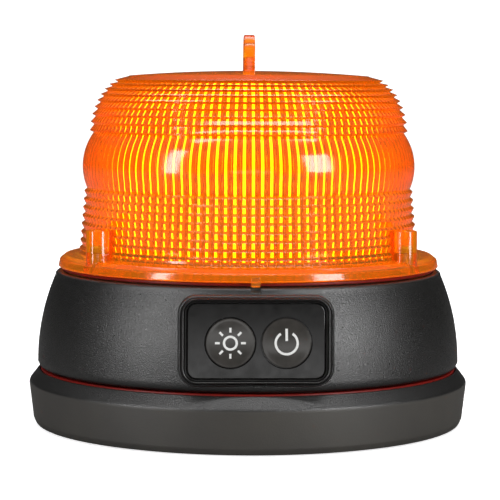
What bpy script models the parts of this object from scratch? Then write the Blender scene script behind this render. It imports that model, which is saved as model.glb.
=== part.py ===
"""A battery warning beacon: amber lens, lamp tower, battery housing and magnetic foot.

Metres, +Z up. The origin is the middle of the rubber pad's underside, and the control
panel faces -Y. Each piece is an object of its own, placed where it is at rest.
"""

import math

import bmesh
import bpy
from mathutils import Matrix, Vector

# Fits and fineness
GAP = 0.0003  # clearance between two pieces that touch
PLAY = 0.0004  # clearance round a piece that is pushed into another
LARGE_STEPS = 36  # segments round a casing
MEDIUM_STEPS = 24  # segments round a cell or a button
SMALL_STEPS = 12  # segments round a screw

# Overall sizes
BASE_RADIUS = 0.0750
BASE_HEIGHT = 0.0189
HOUSING_HEIGHT = 0.0332
LENS_HEIGHT = 0.0664
WALL = 0.0025

# Foot
PAD_THICKNESS = 0.0021
PAD_SETBACK = 0.0047
MAGNET_SETBACK = 0.0210
MAGNET_WIDTH = 0.0280
MAGNET_THICKNESS = 0.0065
PLATE_THICKNESS = 0.0018
PLATE_MARGIN = 0.0007
FLOOR_THICKNESS = 0.0025
RIB_COUNT = 8
RIB_THICKNESS = 0.0020
SHOULDER_STEP = 0.0010
SHOULDER_DROP = 0.0046
SIDE_DRAFT = 0.0014
FOOT_LIFT = 0.0004
MAGNET_SCREW_RADIUS = 0.0018
MAGNET_SCREW_HEAD_RADIUS = 0.0040
MAGNET_SCREW_HEAD_HEIGHT = 0.0020
FLOOR_BOSS_RADIUS = 0.0050
FLOOR_BOSS_HEIGHT = 0.0037

# Twist lock between foot and housing
HOUSING_SETBACK = 0.00295  # the housing's widest radius is this much under the foot's
SPIGOT_SETBACK = 0.00705
SPIGOT_RISE = 0.0081
SKIRT_THICKNESS = 0.00405
SKIRT_HEIGHT = 0.0074
LOCK_COUNT = 4
LOCK_THICKNESS = 0.0025
LUG_REACH = 0.0023
LUG_SWEEP = 22
LEDGE_SWEEP = 34
STOP_SWEEP = 3
STOP_ANGLE = 13.5
STOP_RISE = 0.0038
BASE_GASKET_THICKNESS = 0.0011
BASE_GASKET_WIDTH = 0.0030

# Housing
HOUSING_TAPER = 0.00705
HOUSING_CORNER = 0.0019
DECK_THICKNESS = 0.0028
GROOVE_DEPTH = 0.0014
RIM_STEP = 0.0006
RIM_DROP = 0.0011
RIM_WIDTH = 0.0028
PILLAR_RADIUS = 0.0036
PILLAR_LENGTH = 0.0106
POST_RADIUS = 0.0032
POST_HEIGHT = 0.0017
POST_X = 0.0380
POST_Y = 0.0200
WINDOW_X = 0.0140
WINDOW_Y = 0.0080
WINDOW_PLACE_Y = -0.0430
NOTCH_HALF_WIDTH = 0.0018

# Lens
LENS_GASKET_THICKNESS = 0.0010
LENS_GASKET_WIDTH = 0.0021
FLANGE_THICKNESS = 0.0033
DOME_SETBACK = 0.02435  # the dome's edge is this much inside the flange
DOME_CROWN = 0.0017
DOME_WALL = 0.0030
UPPER_RIDGES = 9
UPPER_START = 0.0032
UPPER_PITCH = 0.0013
UPPER_PITCH_GROWTH = 0.000105
UPPER_DEPTH = 0.0013
SHOULDER_ACROSS = 0.0137
SHOULDER_DOWN = 0.0200
BULGE_TOP_DROP = 0.0210
BULGE_TOP_SETBACK = 0.01205
BULGE_FOOT_RISE = 0.0268
BULGE_FOOT_SETBACK = 0.00964
BULGE_RADIUS = 0.0195
LOWER_RIDGES = 8
LOWER_START = 0.0256
LOWER_PITCH = 0.00278
LOWER_DEPTH = 0.0012
LOWER_SETBACK = 0.0088
LOWER_FLARE = 0.087
LENS_WALL = 0.0034
BOSS_RADIUS = 0.00405
BOSS_SETBACK = 0.0047
BOSS_ANGLE = 33.4
BOSS_RISE = 0.0142
KEY_HALF_WIDTH = 0.00145
KEY_PROUD = 0.0009
LOOP_RADIUS = 0.0075
LOOP_HOLE_RADIUS = 0.0043
LOOP_THICKNESS = 0.0037
LOOP_RISE = 0.0047  # the eyelet's centre above the dome
LENS_SCREW_RADIUS = 0.0015
LENS_SCREW_HEAD_RADIUS = 0.0028
LENS_SCREW_HEAD_HEIGHT = 0.0020
LENS_SCREW_LENGTH = 0.0168
LENS_SCREW_SEAT = 0.0067

# Lamp tower
BOARD_THICKNESS = 0.0016
MAIN_BOARD_SETBACK = 0.0150
SIDES = 6
TOWER_APOTHEM = 0.0075
TOWER_DROP = 0.0132  # the post's top below the dome's
TOWER_CAP_RADIUS = 0.0106
TOWER_CAP_THICKNESS = 0.0017
LED_BOARD_THICKNESS = 0.0012
LED_BOARD_WIDTH = 0.0086
LED_STRIP_THICKNESS = 0.0007
LED_STRIP_WIDTH = 0.0074
LED_FOOT = 0.0033
LED_HEADROOM = 0.0030
STRIP_MARGIN = 0.0020
REFLECTOR_HOLE_RADIUS = 0.0130
REFLECTOR_RIM = 0.0025
REFLECTOR_RISE = 0.0051
REFLECTOR_WALL = 0.0012
BOARD_SCREW_RADIUS = 0.0010
BOARD_SCREW_HEAD_RADIUS = 0.0026
BOARD_SCREW_HEAD_HEIGHT = 0.0016
BOARD_SCREW_LENGTH = 0.0055
CAPACITOR_RADIUS = 0.0032
CAPACITOR_HEIGHT = 0.0048
CAPACITOR_PLACE = (0.0200, -0.0080)
CONNECTOR_X = 0.0120
CONNECTOR_Y = 0.0060
CONNECTOR_HEIGHT = 0.0076

# Control panel, in its own space: X to the right, Y up, Z out of the panel
PANEL_LEAN = 4
PANEL_RECESS = 0.00045  # the panel's plane behind the housing's widest radius
PANEL_WIDTH = 0.0489
PANEL_HEIGHT = 0.0286
PANEL_DEPTH = 0.0090
PANEL_CORNER = 0.0060
BEZEL_MARGIN = 0.00095
BEZEL_WIDTH = 0.0018  # at its two sides
BEZEL_RAIL = 0.0014  # at its top and foot
BEZEL_HEIGHT = 0.0009
POCKET_DEPTH = 0.0018
POCKET_MARGIN = 0.00065
OVERLAY_THICKNESS = 0.0014
BUTTON_RADIUS = 0.0077
BUTTON_FLANGE = 0.0008
BUTTON_FLANGE_THICKNESS = 0.0010
BUTTON_PROUD = 0.0004
BUTTON_TRAVEL = 0.0008
BUTTON_STEM_RADIUS = 0.0022
BUTTON_STEM_END = -0.0066
DISC_SPACE = 0.0021
DISC_SHIFT_X = 0.0007
DISC_SHIFT_Y = -0.0006
REAR_POCKET_Z = -0.0065
REAR_POCKET_WIDTH = 0.0440
REAR_POCKET_HEIGHT = 0.0208
REAR_POCKET_LENGTH = 0.0185
SWITCH_BOARD_WIDTH = 0.0420
SWITCH_BOARD_HEIGHT = 0.0180
SWITCH_BOARD_Z = -0.0106
SWITCH_SIZE = 0.0062
SWITCH_HEIGHT = 0.0024
PLUNGER_RADIUS = 0.0017
PLUNGER_LENGTH = 0.0019
SENSOR_RADIUS = 0.0024
SENSOR_HEIGHT = 0.0051
SENSOR_HOLE_RADIUS = 0.0032
PANEL_POST_X = 0.0185
PANEL_POST_RADIUS = 0.0028
PANEL_SCREW_RADIUS = 0.0009
PANEL_SCREW_HEAD_RADIUS = 0.0021
PANEL_SCREW_HEAD_HEIGHT = 0.0015

# Battery pack
CELL_RADIUS = 0.0131
CELL_LENGTH = 0.0500
CELL_COUNT = 4
CELL_SPACE = 0.0006
CELL_NUB_RADIUS = 0.0035
CELL_NUB_HEIGHT = 0.0016
SPRING_LENGTH = 0.0033
SPRING_TURNS = 3
SPRING_WIRE = 0.0007
SPRING_WIDE_RADIUS = 0.0048
SPRING_TIP_RADIUS = 0.0024
CONTACT_THICKNESS = 0.0004
CONTACT_WIDTH = 0.0150
CONTACT_BOTTOM = -0.0070
CONTACT_TOP = 0.0075
TRAY_WALL_X = 0.0018
TRAY_WALL_Y = 0.0014
TRAY_TOP_THICKNESS = 0.0018
TRAY_CORNER = 0.0030
SADDLE_WIDTH = 0.0030
TAB_WIDTH = 0.0024
TAB_LENGTH = 0.0032
TAB_RISE = 0.0055
LEAD_RADIUS = 0.0009
CABLE_RADIUS = 0.0012

# Radii that follow
HOUSING_RADIUS = BASE_RADIUS - HOUSING_SETBACK
SPIGOT_RADIUS = HOUSING_RADIUS - SPIGOT_SETBACK
SKIRT_RADIUS = HOUSING_RADIUS - SKIRT_THICKNESS
FLANGE_RADIUS = HOUSING_RADIUS - HOUSING_TAPER
DOME_RADIUS = FLANGE_RADIUS - DOME_SETBACK
MAGNET_RADIUS = BASE_RADIUS - MAGNET_SETBACK
SPIGOT_BORE_RADIUS = SPIGOT_RADIUS - WALL
LENS_SPIGOT_RADIUS = FLANGE_RADIUS - 0.0080
RIM_RADIUS = FLANGE_RADIUS - RIM_WIDTH
MAIN_BOARD_RADIUS = FLANGE_RADIUS - MAIN_BOARD_SETBACK

# Heights that follow, from the foot upwards
MAGNET_Z = PAD_THICKNESS + GAP
MAGNET_TOP_Z = MAGNET_Z + MAGNET_THICKNESS
PLATE_Z = MAGNET_TOP_Z + GAP
FLOOR_UNDER_Z = PLATE_Z + PLATE_THICKNESS + GAP
FLOOR_TOP_Z = FLOOR_UNDER_Z + FLOOR_THICKNESS
FLOOR_BOSS_Z = FLOOR_TOP_Z + FLOOR_BOSS_HEIGHT
SEAT_Z = BASE_HEIGHT - SHOULDER_STEP
SPIGOT_TOP_Z = SEAT_Z + SPIGOT_RISE
HOUSING_FOOT_Z = SEAT_Z + BASE_GASKET_THICKNESS + 2 * GAP
LEDGE_Z = HOUSING_FOOT_Z + GAP
LUG_Z = LEDGE_Z + LOCK_THICKNESS + 2 * GAP
DECK_TOP_Z = HOUSING_FOOT_Z + HOUSING_HEIGHT
DECK_UNDER_Z = DECK_TOP_Z - DECK_THICKNESS
RIM_Z = DECK_TOP_Z - RIM_STEP
FLANGE_Z = RIM_Z + LENS_GASKET_THICKNESS + 2 * GAP
SCREW_SEAT_Z = FLANGE_Z + LENS_SCREW_SEAT
BOSS_TOP_Z = FLANGE_Z + BOSS_RISE
LENS_TOP_Z = FLANGE_Z + LENS_HEIGHT
LOOP_Z = LENS_TOP_Z + LOOP_RISE
MAIN_BOARD_Z = DECK_TOP_Z + POST_HEIGHT + GAP
MAIN_BOARD_TOP_Z = MAIN_BOARD_Z + BOARD_THICKNESS
TOWER_FOOT_Z = MAIN_BOARD_TOP_Z + GAP
TOWER_TOP_Z = LENS_TOP_Z - TOWER_DROP
CONNECTOR_TOP_Z = MAIN_BOARD_Z - GAP
CONNECTOR_FOOT_Z = CONNECTOR_TOP_Z - CONNECTOR_HEIGHT

# Places that follow on the panel
PANEL_Z = (HOUSING_FOOT_Z + DECK_TOP_Z) / 2
PANEL_PLACE = Matrix.Translation((0, PANEL_RECESS - HOUSING_RADIUS, PANEL_Z)) @ Matrix.Rotation(
    math.radians(90 - PANEL_LEAN), 4, "X"
)
DISC_PITCH = 2 * BUTTON_RADIUS + DISC_SPACE
BUTTON_X = DISC_SHIFT_X + DISC_PITCH / 2
SENSOR_X = DISC_SHIFT_X - DISC_PITCH / 2
PANEL_BACK_Z = GAP - POCKET_DEPTH
BUTTON_WELL_Z = -POCKET_DEPTH - BUTTON_FLANGE_THICKNESS - BUTTON_TRAVEL - 2 * GAP

# Places that follow in the battery pack
CELL_PITCH = 2 * CELL_RADIUS + CELL_SPACE
CELL_Z = DECK_UNDER_Z - TRAY_TOP_THICKNESS - CELL_RADIUS - 2 * GAP
TRAY_TOP_Z = DECK_UNDER_Z - GAP
SADDLE_DEPTH = CELL_RADIUS - CONTACT_TOP
TRAY_FOOT_Z = SPIGOT_TOP_Z + 2 * GAP
TRAY_INSIDE_X = (CELL_COUNT - 1) / 2 * CELL_PITCH + CELL_RADIUS + 0.0005
TRAY_INSIDE_Y = (CELL_LENGTH + SPRING_LENGTH + 2 * CONTACT_THICKNESS + 5 * GAP) / 2
CONTACT_Y = TRAY_INSIDE_Y - GAP - CONTACT_THICKNESS
CELL_TIP_Y = CONTACT_Y - GAP
TAB_Z = CELL_Z + TAB_RISE

WORLD = Matrix.Identity(4)


# --- Scene and finishes ---


def clear_scene():
    for item in list(bpy.data.objects):
        bpy.data.objects.remove(item)


def new_group(name):
    group = bpy.data.collections.new(name)
    bpy.context.scene.collection.children.link(group)
    return group


def finish(name, colour, roughness, metallic=0.0, transmission=0.0):
    """A plain material with the part's own colour and gloss."""
    material = bpy.data.materials.new(name)
    material.use_nodes = True
    material.diffuse_color = (*colour, 1)
    shader = material.node_tree.nodes["Principled BSDF"]
    shader.inputs["Base Color"].default_value = (*colour, 1)
    shader.inputs["Roughness"].default_value = roughness
    shader.inputs["Metallic"].default_value = metallic
    shader.inputs["Transmission Weight"].default_value = transmission
    return material


clear_scene()
PIECES = new_group("warning_beacon")
CUTTERS = new_group("cutters")

AMBER = finish("amber_polycarbonate", (0.95, 0.16, 0.004), 0.12, transmission=0.6)
BLACK_ABS = finish("textured_black_abs", (0.022, 0.022, 0.022), 0.55)
BLACK_NYLON = finish("black_nylon", (0.045, 0.043, 0.040), 0.50)
RUBBER = finish("black_rubber", (0.018, 0.018, 0.018), 0.70)
GLOSS_BLACK = finish("gloss_black_acrylic", (0.012, 0.011, 0.010), 0.10)
RED_SILICONE = finish("red_silicone", (0.26, 0.012, 0.008), 0.45)
STEEL = finish("zinc_plated_steel", (0.55, 0.55, 0.53), 0.35, metallic=1.0)
NICKEL = finish("nickel_plated_contact", (0.66, 0.63, 0.58), 0.25, metallic=1.0)
ALUMINIUM = finish("extruded_aluminium", (0.78, 0.78, 0.79), 0.35, metallic=1.0)
FERRITE = finish("ferrite_magnet", (0.045, 0.045, 0.048), 0.65)
BOARD = finish("green_circuit_board", (0.010, 0.100, 0.035), 0.35)
WHITE_BOARD = finish("white_lamp_board", (0.82, 0.82, 0.80), 0.30)
PHOSPHOR = finish("amber_led_phosphor", (0.95, 0.52, 0.02), 0.40)
WHITE_PLASTIC = finish("white_reflector_abs", (0.80, 0.80, 0.79), 0.25)
CELL_WRAP = finish("battery_sleeve", (0.03, 0.09, 0.25), 0.30)
CAN = finish("capacitor_can", (0.05, 0.06, 0.10), 0.35)
RED_WIRE = finish("red_pvc", (0.45, 0.012, 0.010), 0.40)
BLACK_WIRE = finish("black_pvc", (0.015, 0.015, 0.015), 0.40)
GREY_WIRE = finish("grey_pvc", (0.20, 0.20, 0.20), 0.45)


# --- Ways of making a piece ---


def empty(name, place, parent=None):
    """An axis or a workplane that pieces are parented to."""
    frame = bpy.data.objects.new(name, None)
    PIECES.objects.link(frame)
    frame.empty_display_size = 0.01
    frame.parent = parent
    frame.matrix_local = place
    return frame


def add(name, mesh, material, parent=None, group=PIECES):
    piece = bpy.data.objects.new(name, mesh)
    group.objects.link(piece)
    piece.parent = parent
    mesh.materials.append(material)
    return piece


def solid(name, bm, material, parent=None):
    """A piece from what the bmesh holds, in its parent's space."""
    mesh = bpy.data.meshes.new(name)
    bm.to_mesh(mesh)
    bm.free()
    return add(name, mesh, material, parent)


def operand(name, bm):
    """A helper that a Boolean adds or takes away, kept out of the model."""
    mesh = bpy.data.meshes.new(name)
    bm.to_mesh(mesh)
    bm.free()
    helper = add(name, mesh, BLACK_ABS, group=CUTTERS)
    helper.hide_render = True
    helper.display_type = "WIRE"
    return helper


def combine(piece, helper, operation):
    boolean = piece.modifiers.new(helper.name, "BOOLEAN")
    boolean.operation = operation
    boolean.solver = "EXACT"
    boolean.object = helper


def turned(name, outline, material, steps=LARGE_STEPS, parent=None):
    """A turned piece. The outline is (radius, height) points that run down the outer side.

    It starts and ends on the axis, or it closes on itself, as a ring's does.
    """
    mesh = bpy.data.meshes.new(name)
    edges = [(i, i + 1) for i in range(len(outline) - 1)]
    if outline[0][0] > 0:
        edges.append((len(outline) - 1, 0))
    mesh.from_pydata([(radius, 0, height) for radius, height in outline], edges, [])
    piece = add(name, mesh, material, parent)
    screw = piece.modifiers.new("turn", "SCREW")
    screw.steps = steps
    screw.render_steps = steps
    screw.use_merge_vertices = True
    screw.merge_threshold = 0.00005
    screw.use_smooth_shade = True
    return piece


def ring(name, inner, outer, low, high, material):
    outline = [(inner, high), (outer, high), (outer, low), (inner, low)]
    return turned(name, outline, material)


def box(bm, low, high, space=WORLD):
    """A box between two corners. It returns its edges."""
    low, high = Vector(low), Vector(high)
    place = space @ Matrix.Translation((low + high) / 2) @ Matrix.Diagonal((*(high - low), 1))
    made = bmesh.ops.create_cube(bm, size=1, matrix=place)
    return sorted({edge for vert in made["verts"] for edge in vert.link_edges}, key=lambda e: e.index)


def block(bm, width, height, low, high, corner, space=WORLD):
    """A block centred on Z whose four upright edges are rounded."""
    edges = box(bm, (-width / 2, -height / 2, low), (width / 2, height / 2, high), space)
    up = (space.to_3x3() @ Vector((0, 0, 1))).normalized()
    upright = [e for e in edges if abs((e.verts[0].co - e.verts[1].co).normalized().dot(up)) > 0.9]
    bmesh.ops.bevel(bm, geom=upright, offset=corner, segments=4, profile=0.5, affect="EDGES")


def drum(bm, x, y, radius, low, high, steps=SMALL_STEPS, space=WORLD):
    """An upright cylinder."""
    place = space @ Matrix.Translation((x, y, (low + high) / 2))
    bmesh.ops.create_cone(
        bm,
        cap_ends=True,
        segments=steps,
        radius1=radius,
        radius2=radius,
        depth=high - low,
        matrix=place,
    )


def sector(bm, inner, outer, low, high, middle, sweep):
    """A block of a ring, its section turned through sweep degrees about Z."""
    start = Matrix.Rotation(math.radians(middle - sweep / 2), 3, "Z")
    corners = [(inner, low), (outer, low), (outer, high), (inner, high)]
    section = bm.faces.new([bm.verts.new(start @ Vector((r, 0, z))) for r, z in corners])
    bmesh.ops.spin(
        bm,
        geom=[*section.verts, *section.edges, section],
        cent=(0, 0, 0),
        axis=(0, 0, 1),
        angle=math.radians(sweep),
        steps=max(1, round(sweep / 8)),
    )
    bmesh.ops.recalc_face_normals(bm, faces=bm.faces)


def through(points, per_span):
    """Points on a smooth curve through the given ones, a Catmull-Rom spline."""
    points = [Vector(p) for p in points]
    ends = [2 * points[0] - points[1], *points, 2 * points[-1] - points[-2]]
    curve = []
    for a, b, c, d in zip(ends, ends[1:], ends[2:], ends[3:]):
        for step in range(per_span):
            t = step / per_span
            bend = (2 * a - 5 * b + 4 * c - d) * t**2 + (3 * b - a - 3 * c + d) * t**3
            curve.append(b + 0.5 * ((c - a) * t + bend))
    return [*curve, points[-1]]


def wire(name, points, radius, material, resolution=2):
    """A round wire along the points, closed at both ends."""
    curve = bpy.data.curves.new(name, "CURVE")
    curve.dimensions = "3D"
    curve.bevel_depth = radius
    curve.bevel_resolution = resolution
    curve.use_fill_caps = True
    spline = curve.splines.new("POLY")
    spline.points.add(len(points) - 1)
    for point, place in zip(spline.points, points):
        point.co = (*place, 1)
    return add(name, curve, material)


def screw(name, x, y, seat, head, length, material, parent=None, upwards=False):
    """A pan head screw. seat is the height of the underside of its head."""
    radius, head_radius, head_height = head
    outline = [
        (0, seat + head_height),
        (0.8 * head_radius, seat + head_height),
        (head_radius, seat + 0.7 * head_height),
        (head_radius, seat),
        (radius, seat),
        (radius, seat - length),
        (0, seat - length),
    ]
    if upwards:
        outline = [(r, 2 * seat - z) for r, z in reversed(outline)]
    piece = turned(name, outline, material, SMALL_STEPS, parent)
    piece.location = (x, y, 0)
    return piece


def boss_places():
    """The four screw places, as (x, y, angle)."""
    reach = FLANGE_RADIUS - BOSS_SETBACK
    angles = (BOSS_ANGLE, 180 - BOSS_ANGLE, 180 + BOSS_ANGLE, 360 - BOSS_ANGLE)
    turns = [math.radians(a) for a in angles]
    return [(reach * math.cos(t), reach * math.sin(t), t) for t in turns]


HOUSING_AXIS = empty("housing_axis", WORLD)
PANEL = empty("panel_plane", PANEL_PLACE, HOUSING_AXIS)
BUTTON_AXIS = empty("button_axis", Matrix.Translation((BUTTON_X, DISC_SHIFT_Y, 0)), PANEL)


# --- Foot ---


def rubber_pad():
    radius = BASE_RADIUS - PAD_SETBACK
    outline = [(0, PAD_THICKNESS), (radius, PAD_THICKNESS), (radius, 0), (0, 0)]
    turned("rubber_pad", outline, RUBBER)


def magnet():
    ring("magnet", MAGNET_RADIUS - MAGNET_WIDTH, MAGNET_RADIUS, MAGNET_Z, MAGNET_TOP_Z, FERRITE)


def magnet_plate():
    hole = MAGNET_SCREW_RADIUS + GAP
    outer = MAGNET_RADIUS + PLATE_MARGIN
    ring("magnet_plate", hole, outer, PLATE_Z, PLATE_Z + PLATE_THICKNESS, STEEL)


def magnet_screw():
    head_z = MAGNET_TOP_Z - MAGNET_SCREW_HEAD_HEIGHT
    outline = [
        (0, FLOOR_BOSS_Z - 0.0010),
        (MAGNET_SCREW_RADIUS, FLOOR_BOSS_Z - 0.0010),
        (MAGNET_SCREW_RADIUS, MAGNET_TOP_Z),
        (MAGNET_SCREW_HEAD_RADIUS, MAGNET_TOP_Z),
        (MAGNET_SCREW_HEAD_RADIUS, head_z + 0.0005),
        (MAGNET_SCREW_HEAD_RADIUS - 0.0006, head_z),
        (0, head_z),
    ]
    turned("magnet_screw", outline, STEEL, SMALL_STEPS)


def base_cover():
    """The foot's floor, side and spigot, with ribs under the floor and the lock's lugs."""
    side_in = BASE_RADIUS - SIDE_DRAFT - WALL
    pad_edge = BASE_RADIUS - PAD_SETBACK + 2 * GAP
    hole = MAGNET_SCREW_RADIUS + GAP
    outline = [
        (0, FLOOR_BOSS_Z),
        (FLOOR_BOSS_RADIUS, FLOOR_BOSS_Z),
        (FLOOR_BOSS_RADIUS + 0.0005, FLOOR_TOP_Z),
        (SPIGOT_BORE_RADIUS, FLOOR_TOP_Z),
        (SPIGOT_BORE_RADIUS, SPIGOT_TOP_Z),
        (SPIGOT_RADIUS, SPIGOT_TOP_Z),
        (SPIGOT_RADIUS, SEAT_Z),
        (BASE_RADIUS - 0.0037, SEAT_Z),
        (BASE_RADIUS - 0.0035, BASE_HEIGHT - 0.0002),
        (BASE_RADIUS - 0.0031, BASE_HEIGHT),
        (BASE_RADIUS - 0.0004, BASE_HEIGHT - 0.0030),
        (BASE_RADIUS, BASE_HEIGHT - SHOULDER_DROP),
        (BASE_RADIUS - SIDE_DRAFT, PAD_THICKNESS + GAP),
        (BASE_RADIUS - 0.0023, FOOT_LIFT + 0.00055),
        (pad_edge + 0.0005, FOOT_LIFT),
        (pad_edge, FOOT_LIFT),
        (side_in, PAD_THICKNESS + 0.0009),
        (BASE_RADIUS - WALL, SEAT_Z - WALL - 0.0014),
        (BASE_RADIUS - WALL - 0.0012, SEAT_Z - WALL),
        (SPIGOT_RADIUS + PLAY, SEAT_Z - WALL),
        (SPIGOT_BORE_RADIUS + 0.0013, FLOOR_UNDER_Z),
        (hole, FLOOR_UNDER_Z),
        (hole, FLOOR_BOSS_Z - 0.0007),
        (0, FLOOR_BOSS_Z - 0.0007),
    ]
    cover = turned("base_cover", outline, BLACK_NYLON)
    ribs = bmesh.new()
    rib_start = MAGNET_RADIUS + PLATE_MARGIN + 0.0009
    rib_end = BASE_RADIUS - SIDE_DRAFT - 0.0008
    for index in range(RIB_COUNT):
        space = Matrix.Rotation(2 * math.pi * (index + 0.5) / RIB_COUNT, 4, "Z")
        low = (rib_start, -RIB_THICKNESS / 2, PAD_THICKNESS + GAP)
        high = (rib_end, RIB_THICKNESS / 2, FLOOR_UNDER_Z + 0.0007)
        box(ribs, low, high, space)
    combine(cover, operand("foot_ribs", ribs), "UNION")
    lugs = bmesh.new()
    for index in range(LOCK_COUNT):
        middle = 360 * (index + 0.5) / LOCK_COUNT
        inner = SPIGOT_RADIUS - PLAY
        outer = SPIGOT_RADIUS + LUG_REACH
        sector(lugs, inner, outer, LUG_Z, LUG_Z + LOCK_THICKNESS, middle, LUG_SWEEP)
    combine(cover, operand("lock_lugs", lugs), "UNION")


def base_gasket():
    outer = BASE_RADIUS - 0.0040
    low = SEAT_Z + GAP
    ring(
        "base_gasket",
        outer - BASE_GASKET_WIDTH,
        outer,
        low,
        low + BASE_GASKET_THICKNESS,
        RED_SILICONE,
    )


# --- Battery housing ---


def side_radius(height, inset=0.0):
    """The housing's bowed side: a circle's arc, upright at the foot and leaning in to the rim."""
    foot = HOUSING_FOOT_Z + HOUSING_CORNER
    rise = DECK_TOP_Z - RIM_DROP - foot
    lean = HOUSING_TAPER - 0.0006
    bow = (rise**2 + lean**2) / (2 * lean)
    reach = bow - inset
    return HOUSING_RADIUS - bow + math.sqrt(reach**2 - (height - foot) ** 2)


def housing_outline():
    groove_in = LENS_SPIGOT_RADIUS - 0.0020 - PLAY
    groove_out = LENS_SPIGOT_RADIUS + PLAY
    side_top = DECK_TOP_Z - RIM_DROP
    side_foot = HOUSING_FOOT_Z + HOUSING_CORNER
    skirt_top = HOUSING_FOOT_Z + SKIRT_HEIGHT
    inner_top = DECK_UNDER_Z - 0.0010
    bands = 6
    outside = [side_top + (side_foot - side_top) * i / bands for i in range(bands + 1)]
    inside = [skirt_top + (inner_top - skirt_top) * i / 4 for i in range(5)]
    return [
        (0, DECK_TOP_Z),
        (groove_in, DECK_TOP_Z),
        (groove_in, DECK_TOP_Z - GROOVE_DEPTH),
        (groove_out, DECK_TOP_Z - GROOVE_DEPTH),
        (groove_out, DECK_TOP_Z),
        (RIM_RADIUS, DECK_TOP_Z),
        (RIM_RADIUS, RIM_Z),
        (FLANGE_RADIUS - PLAY, RIM_Z),
        *[(side_radius(z), z) for z in outside],
        (HOUSING_RADIUS - 0.00065, HOUSING_FOOT_Z + 0.0006),
        (HOUSING_RADIUS - 0.00205, HOUSING_FOOT_Z),
        (SKIRT_RADIUS, HOUSING_FOOT_Z),
        (SKIRT_RADIUS, skirt_top),
        *[(side_radius(z, WALL), z) for z in inside],
        (FLANGE_RADIUS - 0.0031, DECK_UNDER_Z),
        (0, DECK_UNDER_Z),
    ]


def lock_ledges():
    ledges = bmesh.new()
    for index in range(LOCK_COUNT):
        middle = 360 * (index + 0.5) / LOCK_COUNT
        inner = SPIGOT_RADIUS + 0.0005
        top = LEDGE_Z + LOCK_THICKNESS
        sector(ledges, inner, SKIRT_RADIUS + PLAY, LEDGE_Z, top, middle, LEDGE_SWEEP)
    return ledges


def lock_stops():
    stops = bmesh.new()
    for index in range(LOCK_COUNT):
        middle = 360 * (index + 0.5) / LOCK_COUNT + STOP_ANGLE
        low = LEDGE_Z + LOCK_THICKNESS - GAP
        inner = SPIGOT_RADIUS + 0.0008
        outer = SKIRT_RADIUS + PLAY
        sector(stops, inner, outer, low, low + STOP_RISE, middle, STOP_SWEEP)
    return stops


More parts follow.
